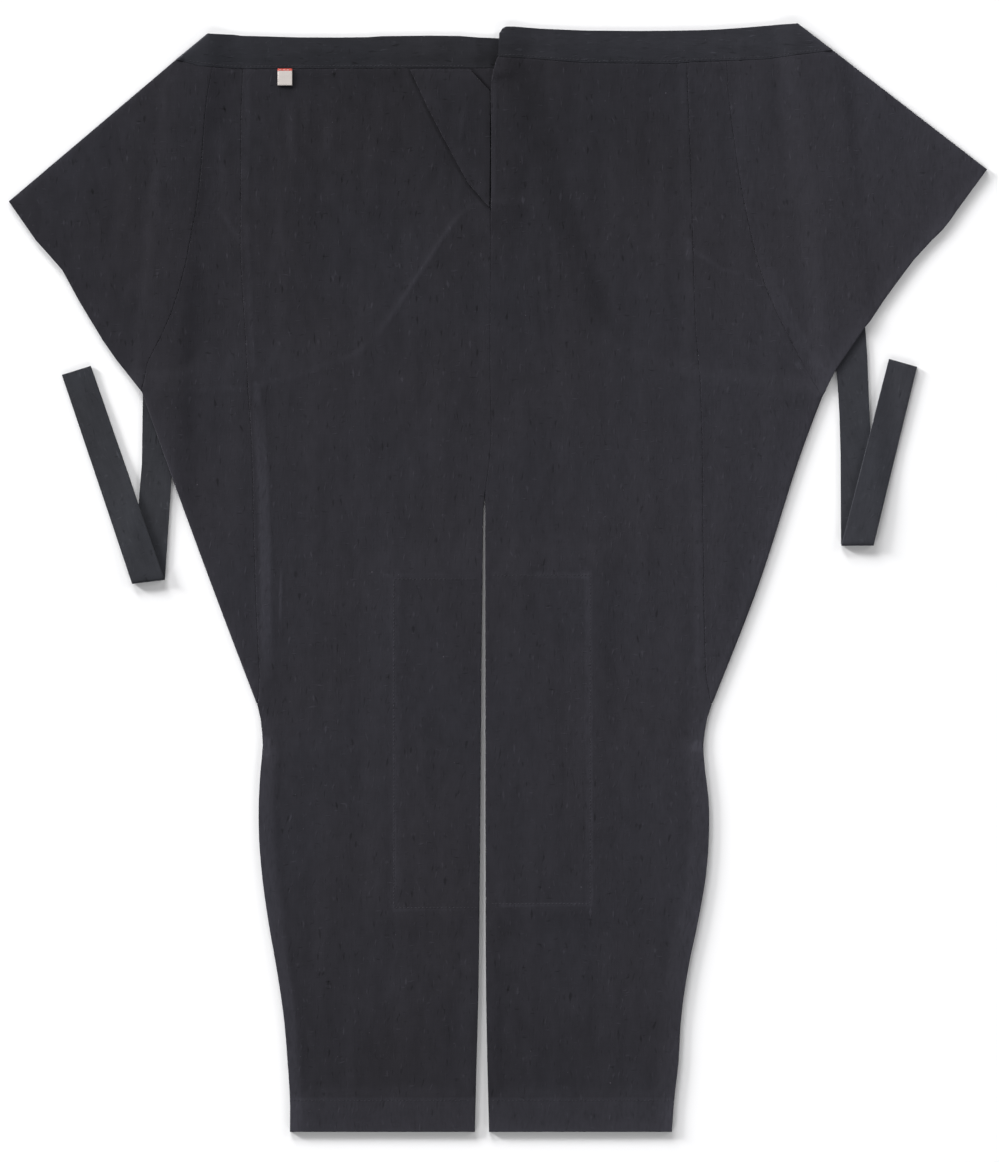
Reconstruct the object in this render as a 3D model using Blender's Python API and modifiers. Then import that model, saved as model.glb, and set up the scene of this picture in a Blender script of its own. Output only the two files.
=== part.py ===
"""Momohiki trousers laid flat on their back with the front upward. Each cut and sewn piece is an object.

Sizes are in millimetres until an object is made. A place is (across, height). Across runs from the centre seam,
left negative, and height runs up from the hem. Tables give a reach, the distance across on either side.
A cloth piece starts as its flat outline, cut along the lines where it bends. It is then laid over whatever
lies under it, folded back along its fold line where it has one, and thickened to its wall.
"""

from math import ceil, hypot, pi

import bmesh
import bpy
import numpy as np
from mathutils.geometry import delaunay_2d_cdt

MM = 0.001
LEFT, RIGHT = 0, 1
SIGN = (-1, 1)
SIDE_NAMES = ("left", "right")

# Walls and clearances
CLOTH = 1.0
TAPE = 1.8  # waistband and ties, a strip folded into four layers
GAP = 0.3  # between pieces that touch
DOUBLED = 0.8  # wall added where a hem or the turnings of a seam are folded in
LABEL_WALL = 1.0

FOLD_CLEARANCE = 1.8  # between the folds of the waistband and of the wing, along the diagonal
FOOT_CLEARANCE = 0.9  # between the wing's foot and the strip's fold

# Fineness of straight and curved edges, and of the bends
EDGE_STEP = 24.0
CURVE_STEP = 12.0
FOLD_FACETS = 4
MERGE = 0.02  # places nearer than this become one
TOLERANCE = 1e-6

# How a cover comes down beside what it covers: distance from the covered edge, share of the lift left
SHEET_SLOPE = ((0.6, 1.0), (3.0, 0.6), (7.0, 0.0))
TAPE_SLOPE = ((0.6, 1.0), (5.0, 0.55), (12.0, 0.0))
PATCH_SLOPE = ((0.6, 1.0), (4.0, 0.0))
DOUBLED_SLOPE = 1.6

# Hem, and the turnings pressed inside the outer seam below the knee
HEM_HEIGHT = 30.0
TURNING = 9.0
TURNING_TOP = (330.0, 365.0)

# Leg edges: height, left reach, right reach
OUTER_EDGE = (
    (0, 175.0, 168.5),
    (30, 175.0, 170.7),
    (60, 176.9, 174.2),
    (103, 180.5, 176.9),
    (147, 187.0, 183.2),
    (190, 194.5, 192.2),
    (233, 200.3, 199.4),
    (265, 202.8, 201.8),
    (300, 202.9, 201.5),
    (325, 201.5, 198.5),
    (350, 199.4, 196.8),
    (372, 201.5, 200.4),
)
INNER_EDGE = (
    (0, 8.6, 4.1),
    (60, 7.2, 2.6),
    (120, 5.6, 1.5),
    (250, 4.1, 0.9),
    (450, 2.5, 0.8),
    (560, 1.2, 0.6),
)
CROTCH_HEIGHT = 579.0

# Seam between the front and the back's visible strip, and seam between that strip and the wing
SIDE_SEAM = (
    (388, 201.3, 199.2),
    (440, 203.9, 198.4),
    (530, 207.3, 196.9),
    (622, 209.7, 195.9),
    (672, 212.9, 194.3),
    (719, 215.3, 190.4),
    (795, 219.6, 187.9),
    (840, 219.3, 186.6),
    (922, 219.0, 183.6),
    (956, 217.4, 182.1),
)
WING_SEAM = (
    (692, 303.0, 286.0),
    (724, 286.6, 269.0),
    (769, 271.4, 250.0),
    (811, 263.0, 239.0),
    (827, 259.6, 235.4),
    (868, 254.8, 228.1),
    (899, 252.5, 223.8),
    (928, 250.0, 220.2),
    (957, 244.4, 217.9),
)

# Seam of the two fronts below the opening, then the right front's edge above it: height, across
CENTRE_SEAM = ((579, 0.9), (600, 4.0), (700, 5.0), (831, 5.6))
OPENING_EDGE = ((831, 6.0), (900, 6.1), (947, 6.6), (958, 8.6), (965, 11.0))
BACK_TOP = 831.0  # where the back's centre seam ends
UNDERLAP_REACH = 18.0  # the left front and left waistband run this far under the right
UNDERLAP_RISE = 14.0

# Waistband edges from the centre outward: reach, height. A negative reach lies past the centre seam
BAND_SEAM = (
    ((-18.0, 957.0), (67.0, 957.0), (220.0, 956.3), (256.0, 958.5), (277.7, 963.9)),
    ((12.6, 967), (40, 965.8), (89.5, 961.8), (170.5, 961), (189, 962.6), (251.5, 964.9), (313.6, 973.4)),
)
BAND_TOP = (
    ((-18.0, 983.0), (8.0, 983.5), (22.0, 985.0), (73.0, 983.4), (209.0, 985.5), (251.5, 986.0)),
    ((14.4, 987.1), (19.0, 993.4), (68.0, 989.8), (194.0, 989.8), (231.0, 993.2), (284.0, 996.5)),
)

# Corners of each side: reach, height
THIGH_FOLD = (((204.9, 385.0), (308.2, 665.6)), ((204.9, 385.0), (303.8, 661.0)))
THIGH_BULGE = (1.3, 3.6)  # how far the fold's middle lies outside its chord
WING_TIP = ((428.0, 837.0), (452.2, 865.8))
WING_HEM = (
    ((397.4, 795.2), (366.8, 752.0), (340.7, 708.8)),
    ((425.3, 827.6), (395.6, 795.2), (362.3, 752.0), (343.4, 719.6), (316.4, 684.0)),
)
FLAP_HEM = (
    ((397.4, 795.2), (366.8, 752.0), (340.7, 708.8), (311.8, 673.0)),
    ((425.3, 827.6), (395.6, 795.2), (362.3, 752.0), (345.4, 722.5)),
)

# The waistband folded under the wing, and the tie that goes on from it down to its crease: reach, height
TAPE_OUTER = (
    ((277.7, 963.9), (307.2, 677.0), (308.2, 600.8), (310.0, 579.0), (316.8, 492.8)),
    ((313.6, 973.4), (342.0, 731.0), (344.3, 698.0), (346.0, 655.0), (348.0, 610.0), (349.7, 526.0)),
)
TAPE_INNER = (
    ((251.5, 986.0), (280.5, 677.0), (281.6, 600.8), (282.2, 579.0), (287.6, 496.4)),
    ((284.0, 996.5), (315.2, 695.0), (317.6, 675.0), (319.4, 645.0), (320.4, 610.0), (320.9, 529.2)),
)
BAND_ROWS = 2  # the first rows of these two are the folded waistband, the others the tie
TIE_END = (((380.2, 680.9), (354.2, 689.0)), ((389.2, 688.1), (364.0, 695.3)))
TIE_UNDER_LEG = (True, False)

# Upper edge of the hidden back layer, from the centre outward: reach, height
BACK_EDGE = (
    ((9, 831.5), (27, 815.9), (67, 757.4), (109.4, 701.6), (150, 682), (205.7, 669.2), (260, 666.6)),
    ((22, 831), (45, 826), (68, 808), (96, 745), (118, 703), (150, 686), (240, 667)),
)

# Knee patches inside the legs: width from the inner leg, lower and upper height
PATCH = ((84.0, 199.5, 499.5), (97.5, 203.0, 503.0))
PATCH_INSET = 1.6

# The facing on the left front beside the opening: across, height
FACING = (
    (1.6, 939.6),
    (-13.0, 956.4),
    (-67.5, 956.4),
    (-49.7, 918.5),
    (-35.1, 890.8),
    (-23.2, 868.3),
    (-14.0, 852.5),
    (3.2, 832.8),
    (1.7, 880.0),
)

# Size label under the left waistband: reach of its two sides, height of its ends
LABEL = (186.0, 173.3, 942.3, 956.2)

# Colour and roughness of the dyed cotton, of its folded tapes and of the label
COTTON = (0.028, 0.026, 0.032)
TAPE_COTTON = (0.034, 0.033, 0.039)
LABEL_WHITE = (0.80, 0.79, 0.76)
COTTON_ROUGHNESS = 0.92
LABEL_ROUGHNESS = 0.75


# Edges as lists of places


def smooth(rows, column, step=CURVE_STEP):
    """Places on the curve through a table whose first column is the height, from the hem upward."""
    heights = np.array([row[0] for row in rows], float)
    values = np.array([row[column] for row in rows], float)
    slopes = np.gradient(values, heights)
    at = np.linspace(heights[0], heights[-1], ceil((heights[-1] - heights[0]) / step) + 1)
    i = np.clip(np.searchsorted(heights, at, side="right") - 1, 0, len(heights) - 2)
    span = heights[i + 1] - heights[i]
    f = (at - heights[i]) / span
    before = (1 - f) ** 2 * ((1 + 2 * f) * values[i] + f * span * slopes[i])
    after = f**2 * ((3 - 2 * f) * values[i + 1] - (1 - f) * span * slopes[i + 1])
    return np.column_stack([before + after, at])


def on_side(side, points):
    """The places on one side of the centre that rows of (reach, height) give."""
    return np.array(points, float).reshape(-1, 2) * (SIGN[side], 1)


def leg_edge(side, rows, step=CURVE_STEP):
    return on_side(side, smooth(rows, 1 + side, step))


def sampled(points, step):
    """The same line with further places, so that none lie more than a step apart."""
    out = [points[0]]
    for start, end in zip(points[:-1], points[1:]):
        count = ceil(hypot(*(end - start)) / step)
        out += [start + (end - start) * i / count for i in range(1, count + 1)]
    return np.array(out)


def beside(line, distance, closed=False):
    """The line moved to its left by a distance, with mitred corners."""
    if closed:
        ahead, behind = np.roll(line, -1, axis=0) - line, line - np.roll(line, 1, axis=0)
    else:
        steps = np.diff(line, axis=0)
        ahead, behind = np.vstack([steps, steps[-1:]]), np.vstack([steps[:1], steps])
    normals = [np.column_stack([-v[:, 1], v[:, 0]]) / np.hypot(*v.T)[:, None] for v in (ahead, behind)]
    middle = normals[0] + normals[1]
    middle /= np.hypot(*middle.T)[:, None]
    return line + middle * distance / (middle * normals[0]).sum(axis=1)[:, None]


def band_height(side, reach, rows=BAND_SEAM):
    table = np.array(rows[side])
    return np.interp(reach, table[:, 0], table[:, 1])


def under_band(side, start, end):
    """The edge of a panel under the waistband's seam, from one reach to another."""
    low, high = sorted((start, end))
    between = [row[0] for row in BAND_SEAM[side] if low < row[0] < high]
    reaches = sorted([low, high] + between, reverse=bool(start > end))
    return on_side(side, [(reach, band_height(side, reach) - GAP) for reach in reaches])


def joined(*parts):
    return np.vstack([np.reshape(part, (-1, 2)) for part in parts])


def back_edge(side):
    """Upper edge of the hidden back layer, from the centre to the thigh fold's top."""
    rows = np.array([(0.0, BACK_TOP)] + list(BACK_EDGE[side]) + [THIGH_FOLD[side][1]])
    curve = smooth(rows, 1)
    return on_side(side, curve[:, ::-1])


def tape_edge(side, rows):
    return on_side(side, rows[side])


def tape_outline(side):
    return joined(tape_edge(side, TAPE_OUTER), tape_edge(side, TAPE_INNER)[::-1])


def flap_outline(side):
    return on_side(side, [BAND_SEAM[side][-1], WING_TIP[side], *FLAP_HEM[side]])


def back_outline(side):
    """The hidden back layer as it lies under the leg."""
    return joined(
        back_edge(side),
        leg_edge(side, OUTER_EDGE)[::-1],
        leg_edge(side, INNER_EDGE),
        on_side(side, [(0, CROTCH_HEIGHT)]),
    )


def patch_outline(side):
    width, low, high = PATCH[side]
    inner = leg_edge(side, INNER_EDGE, EDGE_STEP)
    inner = inner[(inner[:, 1] > low) & (inner[:, 1] < high)]
    ends = np.interp((low, high), inner[:, 1], inner[:, 0])
    inner = joined((ends[0], low), inner, (ends[1], high)) + (SIGN[side] * PATCH_INSET, 0)
    return joined(inner, on_side(side, [(width, high), (width, low)]))


def underlap_outline():
    """The left front past the centre seam, under the right front."""
    top = BAND_SEAM[LEFT][0][1] - GAP
    return np.array(
        [
            (OPENING_EDGE[0][1], BACK_TOP),
            (UNDERLAP_REACH, BACK_TOP + UNDERLAP_RISE),
            (UNDERLAP_REACH, top),
            (OPENING_EDGE[0][1], top),
        ]
    )


def band_end_outline():
    """The left waistband's end, under the right one."""
    low, high = BAND_SEAM[LEFT][0][1], BAND_TOP[LEFT][0][1]
    reach = UNDERLAP_REACH
    return np.array([(-reach, low), (reach, low), (reach, high), (-reach, high)])


# Heights of what lies on what


def line_distance(points, line):
    """Distance from each place to the nearest point of a line."""
    best = np.full(len(points), np.inf)
    for start, end in zip(line[:-1], line[1:]):
        along = end - start
        part = np.clip(((points - start) @ along) / (along @ along), 0, 1)
        best = np.minimum(best, np.hypot(*(points - start - part[:, None] * along).T))
    return best


def outside_by(points, outline):
    """Distance from each place to an outline, or 0 inside it."""
    inside = np.zeros(len(points), bool)
    for (x0, y0), (x1, y1) in zip(outline, np.roll(outline, -1, axis=0)):
        crosses = (y0 > points[:, 1]) != (y1 > points[:, 1])
        with np.errstate(divide="ignore", invalid="ignore"):
            inside ^= crosses & (points[:, 0] < (x1 - x0) * (points[:, 1] - y0) / (y1 - y0) + x0)
    return np.where(inside, 0.0, line_distance(points, joined(outline, outline[:1])))


def share(points, outline, slope):
    """The share of its full lift that a cover has at each place, beside the thing it covers."""
    return np.interp(outside_by(points, outline), *np.array(slope).T)


def doubling(side, points):
    """1 where the cloth is doubled at the hem or over the outer seam's turnings, 0 elsewhere."""
    hem = np.clip((HEM_HEIGHT + DOUBLED_SLOPE - points[:, 1]) / DOUBLED_SLOPE, 0, 1)
    edge = line_distance(points, leg_edge(side, OUTER_EDGE))
    turning = np.clip((TURNING + DOUBLED_SLOPE - edge) / DOUBLED_SLOPE, 0, 1)
    fade = np.interp(points[:, 1], TURNING_TOP, (1, 0))
    return np.maximum(hem, turning * fade)


def no_doubling(side, points):
    return np.zeros(len(points))


def table(side, points):
    return np.zeros(len(points))


def back_floor(side, points):
    """Height of the hidden back layer's underside. The left tie passes under it."""
    if not TIE_UNDER_LEG[side]:
        return table(side, points)
    return (TAPE + GAP) * share(points, tape_outline(side), TAPE_SLOPE)


def back_top(side, points):
    return back_floor(side, points) + CLOTH + DOUBLED * doubling(side, points)


def cover_floor(side, points):
    """Height of the underside of whatever lies on top, front, strip, wing or waistband."""
    floor = np.zeros(len(points))
    for each in (LEFT, RIGHT):
        back = (back_top(each, points) + GAP) * share(points, back_outline(each), SHEET_SLOPE)
        flap = (CLOTH + GAP) * share(points, flap_outline(each), SHEET_SLOPE)
        tape = (TAPE + GAP) * share(points, tape_outline(each), TAPE_SLOPE)
        floor = np.maximum.reduce([floor, back, flap, tape])
    return floor + (CLOTH + GAP) * share(points, patch_outline(side), PATCH_SLOPE)


def overlap_floor(side, points):
    """The same for the right front and right waistband, which also cross the left ones' ends."""
    front = (CLOTH + GAP) * share(points, underlap_outline(), SHEET_SLOPE)
    band = (TAPE + GAP) * share(points, band_end_outline(), TAPE_SLOPE)
    return cover_floor(side, points) + np.maximum(front, band)


def front_floor(side, points):
    return cover_floor(side, points) if side == LEFT else overlap_floor(side, points)


def patch_floor(side, points):
    return back_top(side, points) + GAP


def on_left_front(side, points):
    return cover_floor(LEFT, points) + CLOTH + GAP


# Lines where the cloth bends


def slopes_beside(line, slope, closed=False):
    lines = [beside(line, distance, closed) for distance, _ in slope]
    return [sampled(joined(each, each[:1]) if closed else each, CURVE_STEP) for each in lines]


def tape_breaks(side):
    inward = SIGN[side]
    outer = [sampled(beside(tape_edge(side, TAPE_OUTER), inward * d), EDGE_STEP) for d, _ in TAPE_SLOPE]
    inner = [sampled(beside(tape_edge(side, TAPE_INNER), -inward * d), EDGE_STEP) for d, _ in TAPE_SLOPE]
    return outer + inner


def doubling_breaks(side):
    """The hem's upper edge and the inner edge of the turnings, each with the foot of its slope."""
    breaks = []
    for width in (0, DOUBLED_SLOPE):
        height = HEM_HEIGHT + width
        breaks.append(on_side(side, [(0, height), (OUTER_EDGE[0][1 + side] + TURNING, height)]))
        edge = leg_edge(side, OUTER_EDGE)
        edge = edge[edge[:, 1] <= TURNING_TOP[1]]
        breaks.append(beside(edge, SIGN[side] * (TURNING + width)))
    reach = OUTER_EDGE[0][1 + side]
    breaks.append(on_side(side, [(reach, TURNING_TOP[0]), (reach + 4 * TURNING, TURNING_TOP[0])]))
    return breaks


def back_breaks(side):
    lines = slopes_beside(back_edge(side)[:: SIGN[side]], SHEET_SLOPE)
    return lines + [sampled(back_edge(side), CURVE_STEP)]


def patch_breaks(side):
    return slopes_beside(patch_outline(side)[:: SIGN[side]], PATCH_SLOPE, closed=True)


def cover_breaks(side):
    backs = back_breaks(LEFT) + back_breaks(RIGHT)
    return tape_breaks(side) + backs + doubling_breaks(side) + patch_breaks(side)


def centre_breaks():
    front = slopes_beside(underlap_outline()[::-1], SHEET_SLOPE, closed=True)
    band = slopes_beside(band_end_outline()[::-1], TAPE_SLOPE, closed=True)
    return front + band


# Flat outline to solid


def counter_clockwise(outline):
    x, y = outline.T
    area = x @ np.roll(y, -1) - y @ np.roll(x, -1)
    return outline if area > 0 else outline[::-1]


def cut_up(outline, breaks):
    """Places and triangles of the flat outline, with an edge along each of the breaks."""
    outline = counter_clockwise(outline)
    points = [tuple(point) for point in outline]
    edges = []
    for line in breaks:
        first = len(points)
        points += [tuple(point) for point in line]
        edges += [(i, i + 1) for i in range(first, len(points) - 1)]
    places, _, faces, _, _, origins = delaunay_2d_cdt(points, edges, [list(range(len(outline)))], 0, MERGE)
    kept = [face for face, origin in zip(faces, origins) if origin]
    used = sorted({i for face in kept for i in face})
    renumber = {old: new for new, old in enumerate(used)}
    triangles = [[renumber[i] for i in face] for face in kept]
    return np.array([tuple(places[i]) for i in used]), triangles


def material(name, colour, roughness):
    made = bpy.data.materials.get(name)
    if made is None:
        made = bpy.data.materials.new(name)
        made.use_nodes = True
        shader = made.node_tree.nodes["Principled BSDF"]
        shader.inputs["Base Color"].default_value = (*colour, 1)
        shader.inputs["Roughness"].default_value = roughness
        shader.inputs["Metallic"].default_value = 0
    return made


def merge_close_points(mesh):
    form = bmesh.new()
    form.from_mesh(mesh)
    bmesh.ops.remove_doubles(form, verts=form.verts, dist=MERGE * MM)
    form.to_mesh(mesh)
    form.free()


def make_shell(name, points, triangles, wall, doubled, finish):
    """An object whose outer surface is the given one and whose wall goes inward from it."""
    mesh = bpy.data.meshes.new(name)
    mesh.from_pydata((np.array(points) * MM).tolist(), [], triangles)
    shell = bpy.data.objects.new(name, mesh)
    garment.objects.link(shell)
    shell.parent = centre
    mesh.materials.append(material(*finish))
    group = shell.vertex_groups.new(name="doubled")
    for index, weight in enumerate(doubled):
        group.add([index], float(weight), "REPLACE")
    merge_close_points(mesh)
    solidify = shell.modifiers.new("wall", "SOLIDIFY")
    solidify.thickness = (wall + DOUBLED) * MM
    solidify.vertex_group = "doubled"
    solidify.thickness_vertex_group = wall / (wall + DOUBLED)
    solidify.offset = -1
    return shell


def facing_up(points, triangles, upper):
    """The triangles, turned over if those of the upper layer look down."""
    corners = np.array(points)[np.array(triangles)]
    normals = np.cross(corners[:, 1] - corners[:, 0], corners[:, 2] - corners[:, 0])
    is_upper = np.array(upper)[np.array(triangles)].all(axis=1)
    return triangles if normals[is_upper, 2].sum() > 0 else [face[::-1] for face in triangles]


def lay(name, side, outline, floor, breaks, finish, wall=CLOTH, doubled=no_doubling):
    """A piece of one layer, its underside on the floor that lies beneath it."""
    places, triangles = cut_up(outline, breaks)
    weights = doubled(side, places)
    height = floor(side, places) + wall + DOUBLED * weights
    points = np.column_stack([places, height])
    triangles = facing_up(points, triangles, np.ones(len(points), bool))
    return make_shell(name, points, triangles, wall, weights, finish)


class Fold:
    """A fold line. Flat places are (along, unrolled), unrolled being above 0 on the upper layer."""

    def __init__(self, start, end, inside, wall, bulge=0.0):
        self.start = np.array(start, float)
        self.length = hypot(*(np.array(end) - self.start))
        self.direction = (np.array(end) - self.start) / self.length
        self.inward = np.array([-self.direction[1], self.direction[0]])
        if (np.array(inside) - self.start) @ self.inward < 0:
            self.inward = -self.inward
        self.radius = wall + GAP / 2
        self.quarter = self.radius * pi / 2
        self.bulge = bulge

    def line_at(self, along):
        """How far outside its chord the fold line lies."""
        part = np.clip(along / self.length, 0, 1)
        return 4 * self.bulge * part * (1 - part)

    def flat(self, points, layer):
        """Flat places of places on a layer, 1 for the upper and -1 for the lower."""
        offset = np.reshape(points, (-1, 2)) - self.start
        along = offset @ self.direction
        depth = offset @ self.inward + self.line_at(along)
        return np.column_stack([along, layer * (depth - self.radius + self.quarter)])

    def place(self, along, depth):
        inward = (depth - self.line_at(along))[:, None]
        return self.start + along[:, None] * self.direction + inward * self.inward

    def clipped(self, line, layer):
        """The stretches of a line of flat places that lie on a layer clear of the bend."""
        stretches, current = [], []
        for start, end in zip(line[:-1], line[1:]):
            a, b = layer * start[1] - self.quarter, layer * end[1] - self.quarter
            if a >= 0 and not current:
                current = [start]
            if (a >= 0) != (b >= 0):
                crossing = start + (end - start) * a / (a - b)
                if a >= 0:
                    stretches.append(current + [crossing])
                    current = []
                else:
                    current = [crossing]
            if b >= 0:
                current.append(end)
        if current:
            stretches.append(current)
        return [np.array(stretch) for stretch in stretches if len(stretch) > 1]

    def rungs(self, stretches):
        """Lines across the bend from where stretches meet it."""
        ends = [point for stretch in stretches for point in (stretch[0], stretch[-1])]
        at = {round(point[0], 2) for point in ends if abs(abs(point[1]) - self.quarter) < MERGE}
        return [np.array([(along, -self.quarter), (along, self.quarter)]) for along in sorted(at)]


def lay_folded(
    name, side, fold, upper, lower, floors, breaks, finish, wall=CLOTH, doubled=no_doubling, tail=False
):
    """A piece folded back under itself. Upper and lower are the edges of its two layers apart from the fold,
    each going on from the other. With a tail, the lower layer reaches past the fold's start, lying open."""
    flat_upper = joined(*fold.clipped(fold.flat(upper, 1), 1))
    flat_lower = fold.flat(lower, -1)
    flat_lower = flat_lower if tail else joined(*fold.clipped(flat_lower, -1))
    outline = joined(flat_upper, flat_lower)
    lines = []
    for layer, layer_breaks in zip((1, -1), breaks):
        for line in layer_breaks:
            flat_line = fold.flat(line, layer)
            beyond = tail and layer == 1
            flat_line = flat_line[flat_line[:, 0] > 0] if beyond else flat_line
            if len(flat_line) > 1:
                whole = tail and layer == -1 and flat_line[:, 0].max() < 0
                lines += [flat_line] if whole else fold.clipped(flat_line, layer)
    lines += fold.rungs(lines)
    start = 0.0 if tail else outline[:, 0].min()
    reach = sorted({start, *np.arange(start, outline[:, 0].max(), EDGE_STEP), outline[:, 0].max()})
    for facet in range(FOLD_FACETS + 1):
        level = fold.quarter * (2 * facet / FOLD_FACETS - 1)
        lines.append(np.array([(along, level) for along in reach]))
    flat_places, triangles = cut_up(outline, lines)
    along, unrolled = flat_places.T
    opened = (along < -TOLERANCE) if tail else np.zeros(len(along), bool)
    is_upper = (unrolled >= fold.quarter - TOLERANCE) & ~opened
    is_lower = (unrolled <= -fold.quarter + TOLERANCE) | opened
    is_bend = ~is_upper & ~is_lower
    turn = np.where(is_bend, unrolled / fold.radius, 0)
    depth = np.where(is_upper, unrolled, -unrolled) + fold.radius - fold.quarter
    depth = np.where(is_bend, fold.radius * (1 - np.cos(turn)), depth)
    places = fold.place(along, depth)
    edge_places = fold.place(along, np.where(is_bend, fold.radius, depth))
    top = floors[0](side, edge_places) + wall
    bottom = floors[1](side, edge_places)
    bend = (top + bottom) / 2 + (top - bottom) / 2 * np.sin(turn)
    height = np.where(is_upper, top, np.where(is_lower, bottom, bend))
    weights = np.where(is_lower, doubled(side, places), 0)
    points = np.column_stack([places, height])
    triangles = facing_up(points, triangles, is_upper)
    return make_shell(name, points, triangles, wall, weights, finish)


# Pieces

COTTON_FINISH = ("dyed_cotton", COTTON, COTTON_ROUGHNESS)
TAPE_FINISH = ("dyed_cotton_tape", TAPE_COTTON, COTTON_ROUGHNESS)
LABEL_FINISH = ("label_cotton", LABEL_WHITE, LABEL_ROUGHNESS)


def seam_up_to_band(side, rows, gap):
    """A seam from its lower end to the waistband, moved across by a gap."""
    seam = leg_edge(side, rows, EDGE_STEP)
    seam[:, 0] += SIGN[side] * gap
    seam[-1, 1] = band_height(side, abs(seam[-1, 0])) - GAP
    return seam


def make_front(side):
    half = GAP / 2
    centre_seam = smooth(CENTRE_SEAM, 1, EDGE_STEP) + (SIGN[side] * half, 0)
    seam = seam_up_to_band(side, SIDE_SEAM, -half)
    top_reach = abs(seam[-1, 0])
    if side == LEFT:
        lobe = underlap_outline()[1:3]
        above = joined(lobe, under_band(side, -UNDERLAP_REACH, top_reach)[1:-1])
    else:
        opening = smooth(OPENING_EDGE, 1, EDGE_STEP) + (half, 0)
        start = BAND_SEAM[side][0][0]
        above = joined(opening[1:], under_band(side, start, top_reach)[:-1])
    outline = joined(
        centre_seam,
        above,
        seam[::-1],
        leg_edge(side, OUTER_EDGE)[::-1],
        leg_edge(side, INNER_EDGE, EDGE_STEP),
    )
    breaks = cover_breaks(side) + (centre_breaks() if side == RIGHT else [])
    lay(f"front_{SIDE_NAMES[side]}", side, outline, front_floor, breaks, COTTON_FINISH, doubled=doubling)


def make_back(side):
    """The strip beside the front, folded at the thigh's edge into the layer hidden under the leg."""
    half = GAP / 2
    low, high = (on_side(side, [corner])[0] for corner in THIGH_FOLD[side])
    fold = Fold(low, high, (0, high[1]), CLOTH, THIGH_BULGE[side])
    side_seam = seam_up_to_band(side, SIDE_SEAM, half)
    wing_seam = seam_up_to_band(side, WING_SEAM, -half)
    top = under_band(side, abs(side_seam[-1, 0]), abs(wing_seam[-1, 0]))[1:-1]
    upper = joined(side_seam, top, wing_seam[::-1], high)
    start_of_bend = fold.place(np.zeros(1), np.array([fold.radius]))
    lower = joined(
        back_edge(side)[::-1][:-1],
        on_side(side, [(half, BACK_TOP), (half, CROTCH_HEIGHT)]),
        leg_edge(side, INNER_EDGE, EDGE_STEP)[::-1],
        leg_edge(side, OUTER_EDGE),
        start_of_bend,
    )
    clear = fold.clipped(fold.flat(lower[:3], -1), -1)[0]
    first = fold.place(clear[:1, 0], -clear[:1, 1] + fold.radius - fold.quarter)
    lower = joined(first, lower[1:])
    upper_breaks = tape_breaks(side) + back_breaks(side)
    lower_breaks = (tape_breaks(side) if TIE_UNDER_LEG[side] else []) + doubling_breaks(side)
    lay_folded(
        f"back_{SIDE_NAMES[side]}",
        side,
        fold,
        upper,
        lower,
        (cover_floor, back_floor),
        (upper_breaks, lower_breaks),
        COTTON_FINISH,
        doubled=doubling,
        tail=True,
    )


def make_wing(side):
    """The upper back beside the strip, spread outward and folded under along its diagonal."""
    half = GAP / 2
    tip = on_side(side, [WING_TIP[side]])[0]
    band_foot = on_side(side, [BAND_SEAM[side][-1]])[0]
    start = band_foot + (tip - band_foot) / hypot(*(tip - band_foot)) * FOLD_CLEARANCE
    fold = Fold(start, tip, (0, 0), CLOTH)
    seam = seam_up_to_band(side, WING_SEAM, half)
    foot = on_side(side, [THIGH_FOLD[side][1]])[0] + (SIGN[side] * GAP, FOOT_CLEARANCE)
    hem = on_side(side, WING_HEM[side])
    edge = under_band(side, abs(band_foot[0]), abs(seam[-1, 0]))[1:-1]
    upper = joined(start, edge, seam[::-1], foot, hem[::-1], tip)
    hidden = beside(tape_edge(side, TAPE_OUTER)[:BAND_ROWS], SIGN[side] * GAP)
    lower = joined(tip, on_side(side, FLAP_HEM[side]), hidden[1:], start)
    floors = (cover_floor, table)
    breaks = (tape_breaks(side) + back_breaks(side), [])
    lay_folded(f"wing_{SIDE_NAMES[side]}", side, fold, upper, lower, floors, breaks, COTTON_FINISH)


def make_waistband(side):
    """The waistband, folded under at the wing's diagonal."""
    outer = tape_edge(side, TAPE_OUTER)[:BAND_ROWS]
    inner = tape_edge(side, TAPE_INNER)[:BAND_ROWS]
    fold = Fold(inner[0], outer[0], (0, 0), TAPE)
    top = on_side(side, BAND_TOP[side])
    seam = on_side(side, BAND_SEAM[side])
    upper = joined(top[::-1], seam)
    lower = joined(outer, inner[::-1])
    floors = (cover_floor if side == LEFT else overlap_floor, table)
    breaks = (tape_breaks(side) + (centre_breaks() if side == RIGHT else []), [])
    name = f"waistband_{SIDE_NAMES[side]}"
    lay_folded(name, side, fold, upper, lower, floors, breaks, TAPE_FINISH, wall=TAPE)


def make_tie(side):
    """The tie, from the hidden end of the waistband to its crease and back over itself to its free end."""
    outer = tape_edge(side, TAPE_OUTER)[BAND_ROWS - 1 :]
    inner = tape_edge(side, TAPE_INNER)[BAND_ROWS - 1 :]
    ends = []
    for line in (outer, inner):
        step = (line[1] - line[0]) / hypot(*(line[1] - line[0]))
        ends.append(line[0] + step * GAP)
    crease_outer, crease_inner = outer[-1], inner[-1]
    fold = Fold(crease_outer, crease_inner, ends[0], TAPE)
    free_outer, free_inner = on_side(side, TIE_END[side])
    upper = joined(crease_outer, free_outer, free_inner, crease_inner)
    lower = joined(crease_inner, inner[1:-1][::-1], ends[1], ends[0], outer[1:-1], crease_outer)
    floors = (cover_floor, table)
    breaks = (tape_breaks(side), [])
    lay_folded(f"tie_{SIDE_NAMES[side]}", side, fold, upper, lower, floors, breaks, TAPE_FINISH, wall=TAPE)


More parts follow.
